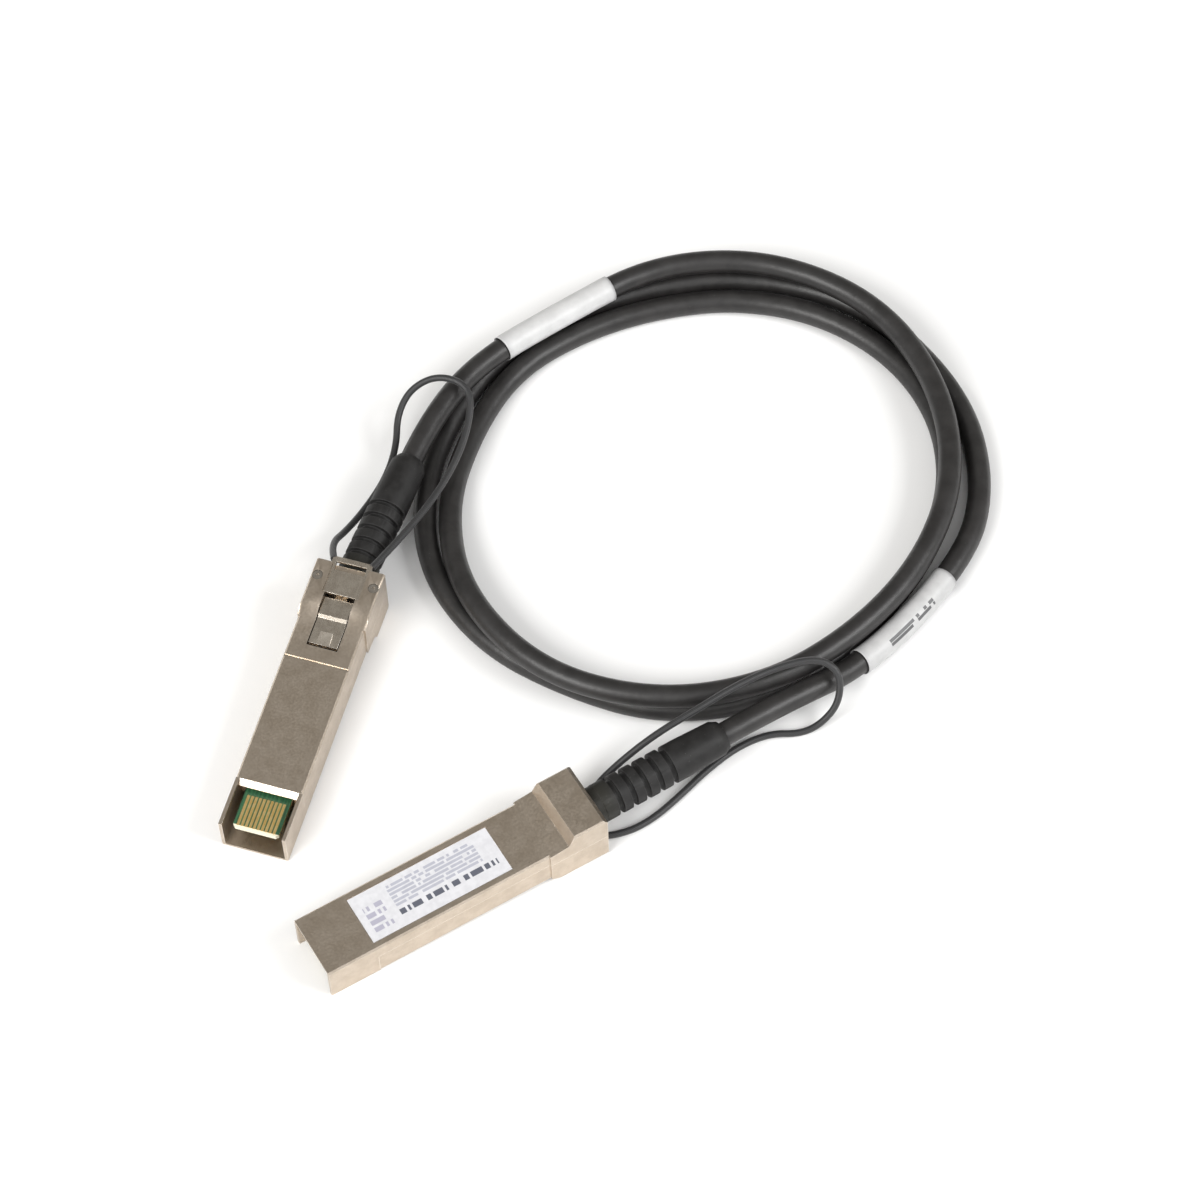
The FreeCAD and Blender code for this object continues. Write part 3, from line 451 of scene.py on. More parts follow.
def make_screw_material(end):
    """Turned and plated steel of the screws and the latch pin, rubbed bright at its edges, where a painted
    highlight lies too.
    """
    material, nodes = new_material("plated_screw_" + end)
    place = nodes.plug_millimetres(end)
    grain = nodes.group(GRAIN, Vector=place, Scale=2.0)
    edge = nodes.group(WORN_AND_HIGHLIT_EDGES, Radius=0.1 * MM)["Mask"]
    colour = nodes.mottled(grain, SCREW_DIM, SCREW_PALE)
    # Edges lighter: partly wear, partly a painted highlight
    colour = nodes.blend(edge, colour, SCREW_RUBBED_AND_HIGHLIT)
    rough = nodes.uneven(grain["Fine"], low=0.25, high=0.42)
    nodes.surface(Base_Color=colour, Metallic=1.0, Roughness=rough,
                  Normal=nodes.bump(grain["Height"], strength=0.2, depth=0.02))
    return material


SOLDER_MASK_DIM = (0.016, 0.062, 0.030, 1)
SOLDER_MASK_PALE = (0.024, 0.085, 0.040, 1)
TRACK_GREEN = (0.040, 0.140, 0.062, 1)
CARD_CUT_SIDE = (0.30, 0.28, 0.13, 1)
CARD_BARE_EDGE_HIGHLIT = (0.82, 0.77, 0.60, 1)

# How far from the card's middle its faces begin, and between which places along it the mask gives way
# to the bare front edge, whose pale colour is bare board and a painted highlight together
CARD_FACE = 0.42
CARD_BARE_AND_HIGHLIT = (CARD_FRONT + 0.55, CARD_FRONT + 0.4)

# The tracks wander with a drawn out noise, by a swing; their sides are in shares of the pitch
TRACK_WANDER = (0.12, 0.5, 0.0)
TRACK_SWING = 1.2
TRACK_SIDES = (0.24, 0.17)


def make_card_material(end):
    """Green solder mask over tracks that run to the contacts, with bare board at its cut edges and a pale
    front edge that is bare board with a painted highlight.
    """
    material, nodes = new_material("circuit_card_" + end)
    place = nodes.plug_millimetres(end)
    along, across, up = nodes.parts(place)
    wander = nodes.noise(nodes.scaled(place, TRACK_WANDER), 1.0)
    shifted = nodes.calc("ADD", across, nodes.times(wander, TRACK_SWING))
    wave = nodes.calc("FRACT", nodes.calc("DIVIDE", shifted, CONTACT_PITCH))
    track = nodes.stretch(nodes.away_from(wave, 0.5), *TRACK_SIDES)
    grain = nodes.group(GRAIN, Vector=place, Scale=0.8)
    colour = nodes.mottled(grain, SOLDER_MASK_DIM, SOLDER_MASK_PALE)
    colour = nodes.tinted(colour, TRACK_GREEN, where=track, share=0.6)
    face = nodes.calc("GREATER_THAN", nodes.away_from(up, CARD_MIDDLE), CARD_FACE)
    colour = nodes.blend(nodes.calc("SUBTRACT", 1.0, face), colour, CARD_CUT_SIDE)
    bare_and_highlit_edge = nodes.stretch(along, *CARD_BARE_AND_HIGHLIT)
    # The pale front edge is partly bare board, partly a painted highlight
    colour = nodes.blend(bare_and_highlit_edge, colour, CARD_BARE_EDGE_HIGHLIT)
    height = nodes.calc("ADD", track, nodes.times(grain["Fine"], 0.3))
    rough = nodes.uneven(grain["Fine"], low=0.22, high=0.36)
    nodes.surface(Base_Color=colour, Roughness=rough, Coat_Weight=0.3, Coat_Roughness=0.15,
                  Normal=nodes.bump(height, strength=0.25, depth=0.04))
    return material


GOLD_DIM = (0.86, 0.58, 0.20, 1)
GOLD_PALE = (0.93, 0.70, 0.32, 1)


def make_contact_material(end):
    """Hard gold plate with wiping marks along the contacts."""
    material, nodes = new_material("gold_contact_" + end)
    place = nodes.plug_millimetres(end)
    streaks = nodes.group(STREAKS, Vector=place, Amount=0.8)
    grain = nodes.group(GRAIN, Vector=place, Scale=1.2)
    colour = nodes.mottled(grain, GOLD_DIM, GOLD_PALE)
    satin = nodes.uneven(grain["Fine"], low=0.34, high=0.44)
    rough = nodes.vary(streaks["Mask"], outside=satin, inside=0.5)
    nodes.surface(Base_Color=colour, Metallic=1.0, Roughness=rough,
                  Normal=nodes.bump(streaks["Height"], strength=0.12, depth=0.02))
    return material


FILM_DIM = (0.50, 0.51, 0.58, 1)
FILM_PALE = (0.66, 0.67, 0.72, 1)
FILM_SEAM = (0.25, 0.25, 0.30, 1)

# The length of one lap of the film along the wire, its slant, and the seam's sides in shares of a lap
FILM_LAP = 2.2
FILM_SLANT = 0.35
FILM_SEAM_SIDES = (0.42, 0.49)


def make_wire_material(end):
    """Film wrapped over foil in a long spiral, pale and glossy."""
    material, nodes = new_material("wrapped_wire_" + end)
    place = nodes.plug_millimetres(end)
    along, across, up = nodes.parts(place)
    slant = nodes.times(nodes.calc("ADD", across, up), FILM_SLANT)
    lap = nodes.calc("FRACT", nodes.calc("ADD", nodes.calc("DIVIDE", along, FILM_LAP), slant))
    seam = nodes.stretch(nodes.away_from(lap, 0.5), *FILM_SEAM_SIDES)
    grain = nodes.group(GRAIN, Vector=place, Scale=1.0)
    colour = nodes.mottled(grain, FILM_DIM, FILM_PALE)
    colour = nodes.tinted(colour, FILM_SEAM, where=seam, share=0.5)
    rough = nodes.uneven(grain["Fine"], low=0.22, high=0.36)
    nodes.surface(Base_Color=colour, Metallic=0.6, Roughness=rough,
                  Normal=nodes.bump(lap, strength=0.3, depth=0.04))
    return material


BRASS_DIM = (0.60, 0.46, 0.20, 1)
BRASS_PALE = (0.74, 0.60, 0.32, 1)


def make_ferrule_material(end):
    """Drawn brass tube, uneven from the crimp."""
    material, nodes = new_material("crimped_brass_" + end)
    place = nodes.plug_millimetres(end)
    grain = nodes.group(GRAIN, Vector=place, Scale=0.9)
    streaks = nodes.group(STREAKS, Vector=place, Amount=0.7)
    colour = nodes.mottled(grain, BRASS_DIM, BRASS_PALE)
    rough = nodes.vary(streaks["Mask"], outside=0.28, inside=0.5)
    nodes.surface(Base_Color=colour, Metallic=1.0, Roughness=rough,
                  Normal=nodes.bump(grain["Coarse"], strength=0.4, depth=0.1))
    return material


RUBBER_DIM = (0.0095, 0.0091, 0.0090, 1)
RUBBER_PALE = (0.0165, 0.0159, 0.0157, 1)
RUBBER_COLLAR = (0.030, 0.029, 0.021, 1)
RUBBER_RUBBED_AND_HIGHLIT = (0.060, 0.059, 0.059, 1)
RUBBER_DUST = (0.16, 0.16, 0.15, 1)

# Between which places along the plug the collar's tint comes up, and how far from the boot's middle
# height the mould line does
COLLAR_REACH = (66.5, 62.0)
MOULD_LINE_SIDES = (0.16, 0.05)


def make_boot_material(end):
    """Matte moulded rubber, specked with dust, rubbed lighter at its ribs and other edges where a painted
    highlight lies too, with its mould line.
    """
    material, nodes = new_material("moulded_boot_" + end)
    place = nodes.plug_millimetres(end)
    along, _, up = nodes.parts(place)
    grain = nodes.group(GRAIN, Vector=place, Scale=0.5)
    specks = nodes.group(SPECKS, Vector=place, Scale=1.3, Size=0.1)["Mask"]
    edge = nodes.group(WORN_AND_HIGHLIT_EDGES, Radius=0.3 * MM)["Mask"]
    mould_line = nodes.stretch(nodes.away_from(up, CABLE_AXIS), *MOULD_LINE_SIDES)
    collar = nodes.stretch(along, *COLLAR_REACH)
    colour = nodes.mottled(grain, RUBBER_DIM, RUBBER_PALE)
    colour = nodes.tinted(colour, RUBBER_COLLAR, where=collar, share=0.5)
    # Edges lighter: partly rubbing, partly a painted highlight
    colour = nodes.tinted(colour, RUBBER_RUBBED_AND_HIGHLIT, where=edge, share=0.6)
    colour = nodes.tinted(colour, RUBBER_DUST, where=specks, share=0.25)
    height = nodes.calc("ADD", nodes.times(grain["Fine"], 0.5), nodes.times(mould_line, 0.8))
    rough = nodes.uneven(grain["Coarse"], low=0.48, high=0.62)
    nodes.surface(Base_Color=colour, Roughness=rough, Specular_IOR_Level=0.33,
                  Normal=nodes.bump(height, strength=0.35, depth=0.06))
    return material


JACKET_DIM = (0.0140, 0.0131, 0.0128, 1)
JACKET_PALE = (0.0236, 0.0222, 0.0218, 1)
JACKET_DUST = (0.17, 0.165, 0.16, 1)


def make_jacket_material():
    """Satin black cable jacket, faintly uneven over the twisted pairs inside."""
    material, nodes = new_material("cable_jacket")
    place = nodes.table_millimetres()
    grain = nodes.group(GRAIN, Vector=place, Scale=0.22)
    fine = nodes.group(GRAIN, Vector=place, Scale=2.2)
    specks = nodes.group(SPECKS, Vector=place, Scale=0.8, Size=0.06)["Mask"]
    colour = nodes.mottled(grain, JACKET_DIM, JACKET_PALE)
    colour = nodes.tinted(colour, JACKET_DUST, where=specks, share=0.3)
    height = nodes.calc("ADD", nodes.times(grain["Coarse"], 1.6), nodes.times(fine["Coarse"], 0.12))
    rough = nodes.uneven(fine["Fine"], low=0.36, high=0.48)
    nodes.surface(Base_Color=colour, Roughness=rough, Specular_IOR_Level=0.5,
                  Normal=nodes.bump(height, strength=0.35, depth=0.25))
    return material


BRAID_DIM = (0.012, 0.012, 0.013, 1)
BRAID_PALE = (0.030, 0.030, 0.031, 1)


def make_lanyard_material():
    """Smooth black pull cord with a fine braid."""
    material, nodes = new_material("pull_cord")
    place = nodes.table_millimetres()
    braid = nodes.add("ShaderNodeTexWave", wave_type="BANDS", bands_direction="DIAGONAL")
    nodes.put(place, braid.inputs["Vector"])
    nodes.put(1.1, braid.inputs["Scale"])
    nodes.put(1.5, braid.inputs["Distortion"])
    grain = nodes.group(GRAIN, Vector=place, Scale=1.2)
    colour = nodes.blend(braid.outputs["Fac"], BRAID_DIM, BRAID_PALE)
    rough = nodes.uneven(grain["Fine"], low=0.4, high=0.55)
    nodes.surface(Base_Color=colour, Roughness=rough, Sheen_Weight=0.15,
                  Normal=nodes.bump(braid.outputs["Fac"], strength=0.3, depth=0.05))
    return material


LABEL_DIM = (0.58, 0.58, 0.605, 1)
LABEL_PALE = (0.65, 0.65, 0.675, 1)
LABEL_BLOCK_INK = (0.30, 0.29, 0.38, 1)
LABEL_ROW_INK = (0.27, 0.28, 0.36, 1)
LABEL_DARK_INK = (0.055, 0.062, 0.09, 1)


def make_plug_label_material():
    """Coated white label with pale blocks of line print and one row of darker bars."""
    material, nodes = new_material("printed_plug_label")
    place = nodes.plug_millimetres("b")
    along, across, _ = nodes.parts(place)
    grain = nodes.group(GRAIN, Vector=place, Scale=0.7)
    colour = nodes.mottled(grain, LABEL_DIM, LABEL_PALE)
    block = nodes.group(PRINT, Across=along, Up=across, Left=11.9, Right=15.9, Low=-3.6, High=2.6,
                        Rows=4.0, Fill=0.66, Bar=0.55, Ink=0.8)["Mask"]
    colour = nodes.tinted(colour, LABEL_BLOCK_INK, where=block, share=0.75)
    rows = nodes.group(PRINT, Across=along, Up=across, Left=17.8, Right=36.4, Low=-0.8, High=4.3,
                       Rows=6.0, Fill=0.66, Bar=0.5, Ink=0.8)["Mask"]
    colour = nodes.tinted(colour, LABEL_ROW_INK, where=rows, share=0.62)
    dark = nodes.group(PRINT, Across=along, Up=across, Left=17.8, Right=38.8, Low=-2.8, High=-1.6,
                       Rows=1.0, Fill=1.0, Bar=0.5, Ink=0.68)["Mask"]
    colour = nodes.tinted(colour, LABEL_DARK_INK, where=dark, share=0.92)
    rough = nodes.uneven(grain["Fine"], low=0.3, high=0.42)
    nodes.surface(Base_Color=colour, Roughness=rough,
                  Normal=nodes.bump(grain["Height"], strength=0.08, depth=0.03))
    return material


WRAP_MOTTLE = 0.03
WRAP_END_DARKENING = (0.36, 0.36, 0.37, 1)
WRAP_INK = (0.06, 0.06, 0.063, 1)

# The shares of its length, out from the middle, between which a wrap turns darker towards its ends
WRAP_DARKER_ENDS = (0.44, 0.5)


def make_wrap_material(name, tone, printed):
    """Coated white wrap, darker towards its ends, bare or with two broken rows of dark print."""
    material, nodes = new_material(name)
    place = nodes.table_millimetres()
    sheet = nodes.add("ShaderNodeUVMap", uv_map="sheet").outputs[0]
    along, around, _ = nodes.parts(sheet)
    grain = nodes.group(GRAIN, Vector=place, Scale=0.35)
    dim = (tone - WRAP_MOTTLE,) * 3 + (1,)
    pale = (tone + WRAP_MOTTLE,) * 3 + (1,)
    colour = nodes.mottled(grain, dim, pale)
    ends = nodes.stretch(nodes.away_from(along, 0.5), *WRAP_DARKER_ENDS)
    # Darker towards both ends of the wrap
    colour = nodes.tinted(colour, WRAP_END_DARKENING, where=ends, share=0.35)
    if printed:
        rows = nodes.group(PRINT, Across=along, Up=around, Left=0.25, Right=0.75, Low=0.69, High=0.785,
                           Rows=2.0, Fill=0.84, Bar=0.03, Ink=0.8)["Mask"]
        colour = nodes.tinted(colour, WRAP_INK, where=rows, share=0.9)
    rough = nodes.uneven(grain["Fine"], low=0.34, high=0.48)
    nodes.surface(Base_Color=colour, Roughness=rough,
                  Normal=nodes.bump(grain["Coarse"], strength=0.2, depth=0.2))
    return material


# Finish the parts that stay as they are

PART_MATERIALS = {
    "upper_shell": make_shell_material,
    "paddle_card": make_card_material,
    "edge_contacts": make_contact_material,
    "wire_pairs": make_wire_material,
    "latch_rocker": make_stamping_material,
    "latch_spring": make_spring_material,
    "shell_screws": make_screw_material,
    "crimp_ferrule": make_ferrule_material,
    "boot": make_boot_material,
}
SHARED_MATERIALS = {
    "lower_shell": "upper_shell",
    "release_slider": "latch_rocker",
    "latch_pin": "shell_screws",
}
ROUNDED_PARTS = {
    "upper_shell": 0.18,
    "lower_shell": 0.2,
    "latch_rocker": 0.08,
    "release_slider": 0.1,
    "boot": 0.22,
}
WELD_GAP = 0.002
SHARP_EDGE = math.radians(40)
ROUNDING_STEPS = 2

jacket = make_jacket_material()
pull_cord = make_lanyard_material()


def finish_part(node, material):
    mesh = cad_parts[node].data
    mesh.materials.clear()
    mesh.materials.append(material)


def round_edges(part, width):
    """Breaks the sharp edges of a part as casting, stamping or moulding leaves them."""
    weld = part.modifiers.new("weld", "WELD")
    weld.merge_threshold = WELD_GAP * MM
    bevel = part.modifiers.new("round", "BEVEL")
    bevel.width = width * MM
    bevel.segments = ROUNDING_STEPS
    bevel.limit_method = "ANGLE"
    bevel.angle_limit = SHARP_EDGE
    bevel.face_strength_mode = "FSTR_ALL"
    flats = part.modifiers.new("true flats", "WEIGHTED_NORMAL")
    flats.mode = "FACE_AREA"
    flats.use_face_influence = True
    part.data.shade_smooth()


# The bright sloping lip across each mouth, in front of the latch side's flat: its section along and up
# the plug, its reach to each side and the rounding of its edges
LIP_SECTION = ((10.42, 0.04), (9.3, 1.0), (9.3, 1.16), (10.42, 1.16))
LIP_REACH = 5.96
LIP_ROUNDING = 0.05


def make_mouth_lip(end, material):
    """A lead-in slope along the edge of the mouth's opening."""
    name = "mouth_lip_" + end
    mesh = bpy.data.meshes.new(name)
    corners = [on_plug(end, x, y, z) * MM for y in (-LIP_REACH, LIP_REACH) for x, z in LIP_SECTION]
    count = len(LIP_SECTION)
    faces = [tuple(range(count)), tuple(range(2 * count - 1, count - 1, -1))]
    for i in range(count):
        after = (i + 1) % count
        faces.append((after, i, count + i, count + after))
    mesh.from_pydata(corners, [], faces)
    mesh.materials.append(material)
    lip = bpy.data.objects.new(name, mesh)
    bpy.context.scene.collection.objects.link(lip)
    round_edges(lip, LIP_ROUNDING)
    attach(lip, FIXED_BODY)


def flex_spring(end):
    """Gives the latch spring a mesh of its own."""
    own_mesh(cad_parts["latch_spring_" + end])


for end in ENDS:
    made = {}
    for kind, maker in PART_MATERIALS.items():
        made[kind] = maker(end)
        finish_part("%s_%s" % (kind, end), made[kind])
    for kind, like in SHARED_MATERIALS.items():
        finish_part("%s_%s" % (kind, end), made[like])
    finish_part("cable_end_" + end, jacket)
    for kind, width in ROUNDED_PARTS.items():
        round_edges(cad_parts["%s_%s" % (kind, end)], width)
    make_mouth_lip(end, made["upper_shell"])
    flex_spring(end)
finish_part("plug_label_b", make_plug_label_material())


# The cable, from one boot round the coil to the other

CABLE_DIAMETER = 4.7
CORD_SMOOTHNESS = 12
CORD_ROUNDNESS = 7
LEAD_STRAIGHT = {"a": 12.0, "b": 14.0}
LEAD_A = [
    on_boot("a", BOOT_TAIL),
    on_boot("a", BOOT_TAIL + LEAD_STRAIGHT["a"]),
    (-0.6, 82.6, 8.0),
    (14.8, 94.0, 7.75),
    (34.6, 107.6, 7.5),
    (58.4, 109.4, 7.2),
    (80.4, 98.3, 7.2),
    (92.6, 77.4, 7.2),
    (94.8, 54.6, 7.2),
    (87.7, 34.4, 7.2),
    (74.6, 17.9, 7.4),
    (56.7, 5.4, 7.4),
    (34.3, 1.4, 7.2),
    (11.5, 8.3, 7.2),
    (-3.9, 27.0, 6.6),
    (-7.4, 50.1, 3.0),
    (-2.0, 70.0, 2.4),
]
LEAD_B = [
    on_boot("b", BOOT_TAIL),
    on_boot("b", BOOT_TAIL + LEAD_STRAIGHT["b"]),
    (76.0, 13.0, 2.9),
    (96.1, 37.4, 2.9),
    (101.0, 55.2, 2.4),
    (97.9, 75.9, 2.4),
    (85.2, 94.4, 2.4),
]

# The flat turns lie on an oval and are counted in degrees, clockwise from the coil's left side
COIL_CENTRE = (43.6, 53.8)
COIL_RADIUS = 48.9
COIL_OVAL = 3.6
COIL_LIE = math.radians(35.0)
COIL_HEIGHT = 2.4
COIL_FIRST = 400
COIL_LAST = 840
COIL_STEP = 20

# Where the turns leave the oval: the degrees where a swell starts, is full, leaves off and ends, and
# its size
COIL_SWELLS = (
    (370, 400, 400, 440, 1.9),
    (530, 562, 566, 600, -1.3),
    (575, 622, 632, 665, 3.4),
    (645, 715, 900, 920, 4.9),
    (730, 760, 760, 800, 1.9),
    (760, 840, 900, 920, 0.9),
)


def ease(value, low, high):
    """A share that goes smoothly from 0 at the low value to 1 at the high one."""
    share = min(max((value - low) / (high - low), 0.0), 1.0)
    return share * share * (3 - 2 * share)


def coil_turns():
    """Points of the flat turns, first inside, then moving out beside themselves."""
    points = []
    for turned in range(COIL_FIRST, COIL_LAST + 1, COIL_STEP):
        angle = math.radians(180 - turned)
        reach = COIL_RADIUS + COIL_OVAL * math.cos(2 * (angle - COIL_LIE))
        for start, full, leave, stop, size in COIL_SWELLS:
            reach += size * (ease(turned, start, full) - ease(turned, leave, stop))
        reach /= math.cos(math.radians(COIL_STEP / 2))
        x = COIL_CENTRE[0] + reach * math.cos(angle)
        y = COIL_CENTRE[1] + reach * math.sin(angle)
        points.append((x, y, COIL_HEIGHT))
    return points


def make_cord(name, points, diameter, material):
    """A round cord along one smooth open spline that its points pull on."""
    curve = bpy.data.curves.new(name, "CURVE")
    curve.dimensions = "3D"
    curve.resolution_u = CORD_SMOOTHNESS
    spline = curve.splines.new("NURBS")
    spline.points.add(len(points) - 1)
    for i, point in enumerate(points):
        spline.points[i].co = (*(Vector(point) * MM), 1.0)
    spline.order_u = 3
    spline.use_endpoint_u = True
    curve.bevel_depth = diameter / 2 * MM
    curve.bevel_resolution = CORD_ROUNDNESS
    curve.use_fill_caps = True
    curve.materials.append(material)
    cord = bpy.data.objects.new(name, curve)
    bpy.context.scene.collection.objects.link(cord)
    return cord


def line_of(cord):
    """The points of a cord's own smooth line, in metres."""
    bare = cord.data.copy()
    bare.bevel_depth = 0.0
    holder = bpy.data.objects.new(cord.name + "_line", bare)
    mesh = bpy.data.meshes.new_from_object(holder)
    points = [vertex.co.copy() for vertex in mesh.vertices]
    bpy.data.objects.remove(holder)
    bpy.data.meshes.remove(mesh)
    bpy.data.curves.remove(bare)
    return points


def length_of(points):
    return sum((b - a).length for a, b in zip(points, points[1:]))


cable = make_cord("cable", LEAD_A + coil_turns() + LEAD_B[::-1], CABLE_DIAMETER, jacket)
cable_line = line_of(cable)
cable_distances = [0.0]
for a, b in zip(cable_line, cable_line[1:]):
    cable_distances.append(cable_distances[-1] + (b - a).length)


# Labels wrapped round the cable

WRAP_LENGTH = 27.0
WRAP_RADIUS = 2.5
WRAP_GROW = 0.14
WRAP_TURNS = 1.14
WRAP_PAPER = 0.1
WRAP_RINGS = 36
WRAP_SIDES = 48

# The ends of a wrap curl away a little: by how much, from which share of its length out from the
# middle, and how often the curl changes along it and round it
WRAP_CURL = 0.05
WRAP_CURL_FROM = 0.3
WRAP_CURL_ALONG = 7
WRAP_CURL_ROUND = 3


def cable_station(distance):
    """A point at a distance along the cable's line, and the line's direction there."""
    i = max(j for j in range(len(cable_distances) - 1) if cable_distances[j] <= distance)
    share = (distance - cable_distances[i]) / (cable_distances[i + 1] - cable_distances[i])
    before = cable_line[max(i - 1, 0)]
    after = cable_line[min(i + 2, len(cable_line) - 1)]
    return cable_line[i].lerp(cable_line[i + 1], share), (after - before).normalized()


def make_wrap(name, near, material, seam):
    """A sheet rolled a little more than once round the cable, where its line passes nearest to a point."""
    nearest = min(range(len(cable_line)), key=lambda i: (cable_line[i] - near).length)
    first = cable_distances[nearest] - WRAP_LENGTH / 2 * MM
    vertices, faces, places = [], [], []
    for ring in range(WRAP_RINGS + 1):
        share = ring / WRAP_RINGS
        middle, along = cable_station(first + share * WRAP_LENGTH * MM)
        side = along.cross(Vector((0, 0, 1))).normalized()
        top = side.cross(along)
        for k in range(WRAP_SIDES + 1):
            turn = k / WRAP_SIDES * WRAP_TURNS
            angle = seam + 2 * math.pi * turn
            wave = math.sin(WRAP_CURL_ALONG * share + WRAP_CURL_ROUND * turn)
            lift = WRAP_CURL * wave * ease(abs(share - 0.5), WRAP_CURL_FROM, 0.5)
            reach = (WRAP_RADIUS + WRAP_GROW * turn + lift) * MM
            vertices.append(middle + side * (reach * math.cos(angle)) + top * (reach * math.sin(angle)))
            places.append((share, turn))
    row = WRAP_SIDES + 1
    for ring in range(WRAP_RINGS):
        for k in range(WRAP_SIDES):
            corner = ring * row + k
            faces.append((corner, corner + 1, corner + row + 1, corner + row))
    mesh = bpy.data.meshes.new(name)
    mesh.from_pydata(vertices, [], faces)
    layer = mesh.uv_layers.new(name="sheet")
    for loop in mesh.loops:
        layer.data[loop.index].uv = places[loop.vertex_index]
    mesh.materials.append(material)
    mesh.shade_smooth()
    wrap = bpy.data.objects.new(name, mesh)
    bpy.context.scene.collection.objects.link(wrap)
    paper = wrap.modifiers.new("sheet thickness", "SOLIDIFY")
    paper.thickness = WRAP_PAPER * MM
    paper.offset = -1.0
    return wrap


def middle_of(node):
    low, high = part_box(node)
    return (low + high) / 2


bare_wrap = make_wrap_material("bare_wrap", tone=0.55, printed=False)
printed_wrap = make_wrap_material("printed_wrap", tone=0.49, printed=True)
wrap_a = make_wrap("wrap_label_a", middle_of("cable_label_a"), bare_wrap, seam=math.radians(250))
wrap_b = make_wrap("wrap_label_b", middle_of("cable_label_b"), printed_wrap, seam=math.radians(230))


# The pull lanyards, each from one end of its slider's rear bar round to the other

LANYARD_DIAMETER = 1.4
BAR_START = (61.05, -3.9, -0.6)
BAR_END = (61.05, 3.9, -0.6)
LANYARD_A = [
    on_plug("a", *BAR_START),
    (-29.6, 36.4, 9.8),
    (-26.8, 42.3, 5.8),
    (-23.0, 49.0, 4.4),
    (-19.4, 56.1, 4.4),
    (-17.5, 63.2, 5.2),
    (-17.4, 69.6, 7.4),
    (-14.6, 74.2, 10.2),
    (-8.8, 75.8, 12.5),
    (-2.2, 73.0, 12.0),
    (-3.0, 63.6, 9.0),
    (-7.4, 52.4, 7.7),
    (-14.4, 39.4, 10.0),
    on_plug("a", *BAR_END),
]
LANYARD_B = [
    on_plug("b", *BAR_START),
    (28.4, -24.2, 1.0),
    (33.8, -21.0, 1.0),
    (39.2, -15.6, 1.0),
    (44.4, -9.9, 1.0),
    (50.4, -4.8, 1.0),
    (56.6, -1.9, 1.0),
    (62.6, -2.0, 1.0),
    (66.8, 0.0, 1.8),
    (70.0, 2.6, 5.4),
    (70.0, 6.6, 10.0),
    (65.8, 8.6, 11.9),
    (58.0, 6.6, 11.9),
    (49.6, 2.4, 11.6),
    (41.8, -2.6, 10.6),
    (34.5, -6.9, 9.3),
    (28.0, -10.6, 5.8),
    (22.4, -14.6, 2.2),
    on_plug("b", *BAR_END),
]

lanyards = {}
for end, points in (("a", LANYARD_A), ("b", LANYARD_B)):
    lanyards[end] = make_cord("pull_lanyard_" + end, points, LANYARD_DIAMETER, pull_cord)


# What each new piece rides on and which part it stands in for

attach(cable, FIXED_BODY)
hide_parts("cable_lead_a", "cable_lead_b", "cable_coil")
for wrap, node in ((wrap_a, "cable_label_a"), (wrap_b, "cable_label_b")):
    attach(wrap, FIXED_BODY)
    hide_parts(node)
for end, points in (("a", LANYARD_A), ("b", LANYARD_B)):
    lanyard = lanyards[end]
    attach(lanyard, "slider_" + end)
    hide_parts("lanyard_" + end)
    length_of(line_of(lanyard))


# Table, studio light and surroundings

TABLE_REACH = 40.0
TABLE_DROP = 0.02
TABLE_DIM = (0.90, 0.90, 0.90, 1)
TABLE_PALE = (0.915, 0.915, 0.912, 1)

# How far from the middle of the view the table's shading begins to fade, and where it is plain white
TABLE_NEAR = 350.0
TABLE_FAR = 900.0


def make_table_material():
    """White paint: near the cable it takes light and shadow, further off it shows plain white."""
    material, nodes = new_material("white_table")
    place = nodes.table_millimetres()
    grain = nodes.group(GRAIN, Vector=place, Scale=0.02)
    colour = nodes.mottled(grain, TABLE_DIM, TABLE_PALE)
    paint, out = nodes.surface(Base_Color=colour, Roughness=0.9, Specular_IOR_Level=0.1)
    white = nodes.add("ShaderNodeEmission").outputs[0]
    rays = nodes.add("ShaderNodeLightPath").outputs
    mirrored = nodes.calc("ADD", rays["Is Glossy Ray"], rays["Is Transmission Ray"])
    seen = nodes.calc("ADD", rays["Is Camera Ray"], mirrored, clamp=True)
    distance = nodes.add("ShaderNodeVectorMath", operation="DISTANCE")
    nodes.put(place, distance.inputs[0])
    nodes.put(CAMERA_TARGET / MM, distance.inputs[1])
    far = nodes.stretch(distance.outputs["Value"], TABLE_NEAR, TABLE_FAR)
    mix = nodes.add("ShaderNodeMixShader")
    for value, socket in zip((nodes.times(far, seen), paint, white), mix.inputs):
        nodes.put(value, socket)
    nodes.put(mix.outputs[0], out)
    return material


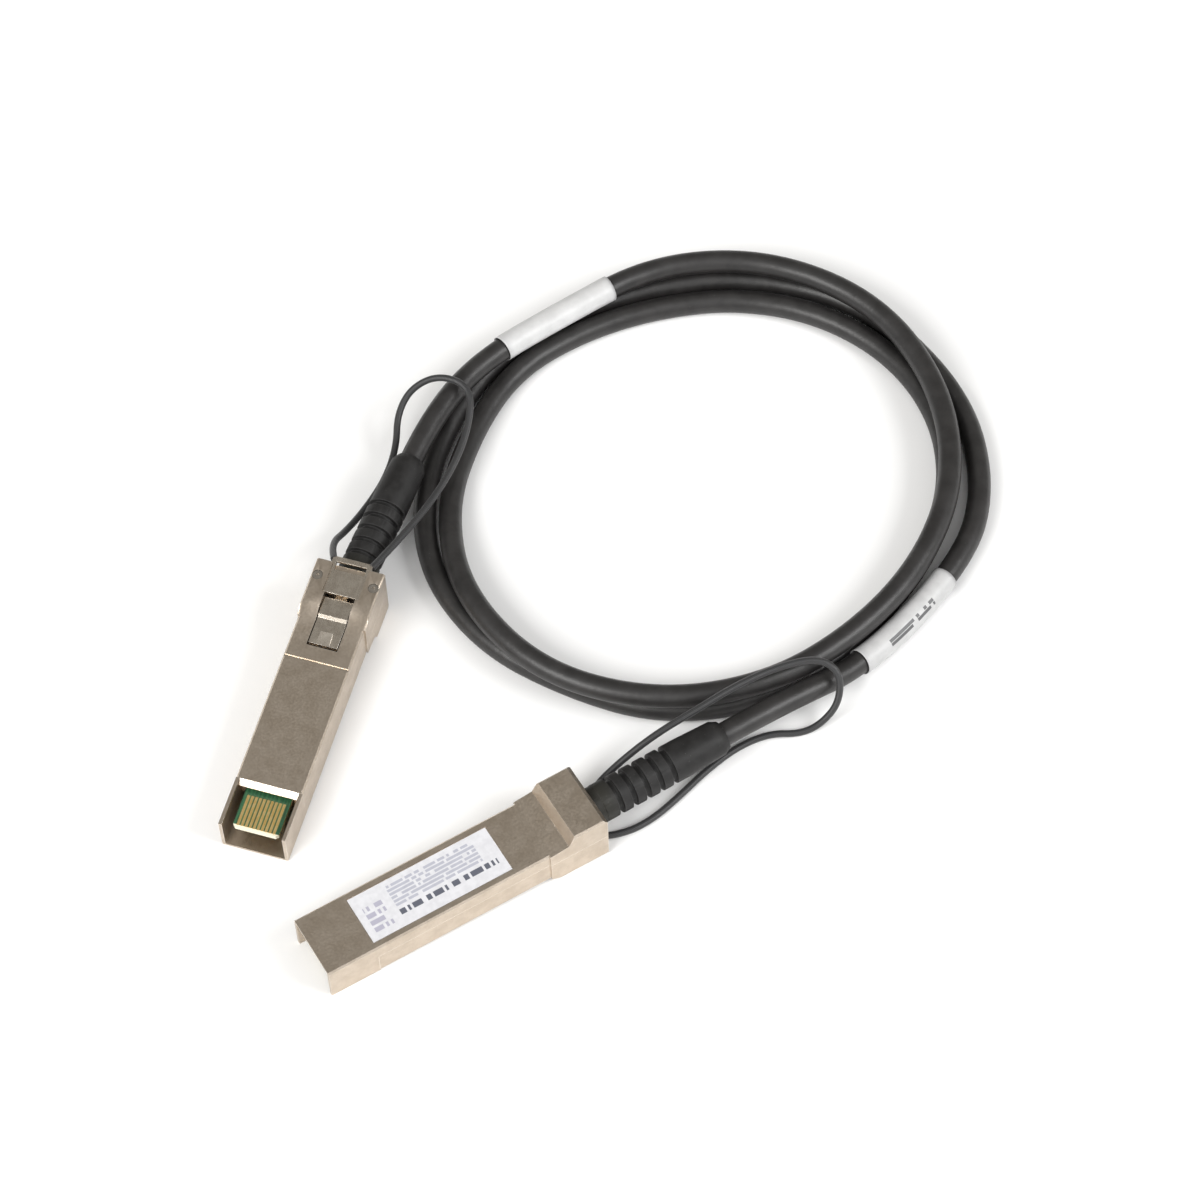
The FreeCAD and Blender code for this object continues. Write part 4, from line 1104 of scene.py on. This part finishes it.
def make_table():
    """The table top, just below the cable's lowest point."""
    mesh = bpy.data.meshes.new("table_top")
    corners = [(x * TABLE_REACH, y * TABLE_REACH, 0.0) for x, y in ((-1, -1), (1, -1), (1, 1), (-1, 1))]
    mesh.from_pydata(corners, [], [(0, 1, 2, 3)])
    mesh.materials.append(make_table_material())
    floor = bpy.data.objects.new("table_top", mesh)
    floor.location.z = -TABLE_DROP * MM
    bpy.context.scene.collection.objects.link(floor)


STUDIO_FRONT = (0.80, 0.80, 0.80, 1)
STUDIO_BACK = (0.34, 0.33, 0.31, 1)

# How far a direction points away from the front where the tone begins to change, and where it has
STUDIO_TURNS = (-0.35, 0.45)


def make_surroundings():
    """A pale studio, bright in front of the table and dimmer behind it."""
    world = bpy.data.worlds.new("studio")
    bpy.context.scene.world = world
    world.use_nodes = True
    nodes = Nodes(world.node_tree)
    direction = nodes.parts(nodes.add("ShaderNodeTexCoord").outputs["Generated"])
    behind = nodes.stretch(direction[1], *STUDIO_TURNS)
    background = nodes.add("ShaderNodeBackground")
    nodes.put(nodes.blend(behind, STUDIO_FRONT, STUDIO_BACK), background.inputs["Color"])
    out = nodes.add("ShaderNodeOutputWorld")
    nodes.put(background.outputs[0], out.inputs["Surface"])


def make_softbox(name, place, target, width, power, colour):
    """A square lamp that faces a point on the table."""
    data = bpy.data.lights.new(name, "AREA")
    data.shape = "SQUARE"
    data.size = width
    data.energy = power
    data.color = colour
    light = bpy.data.objects.new(name, data)
    light.location = place
    light.rotation_euler = (Vector(target) - Vector(place)).to_track_quat("-Z", "Y").to_euler()
    bpy.context.scene.collection.objects.link(light)


make_table()
make_surroundings()
make_softbox("front_left_softbox", place=(-0.75, -0.75, 0.95), target=(0.02, 0.03, 0.0),
             width=0.7, power=16.0, colour=(1.0, 0.99, 0.97))
make_softbox("right_softbox", place=(0.95, -0.25, 0.8), target=(0.03, 0.03, 0.0),
             width=0.6, power=9.0, colour=(1.0, 1.0, 1.0))

bpy.context.scene.view_settings.view_transform = "Standard"
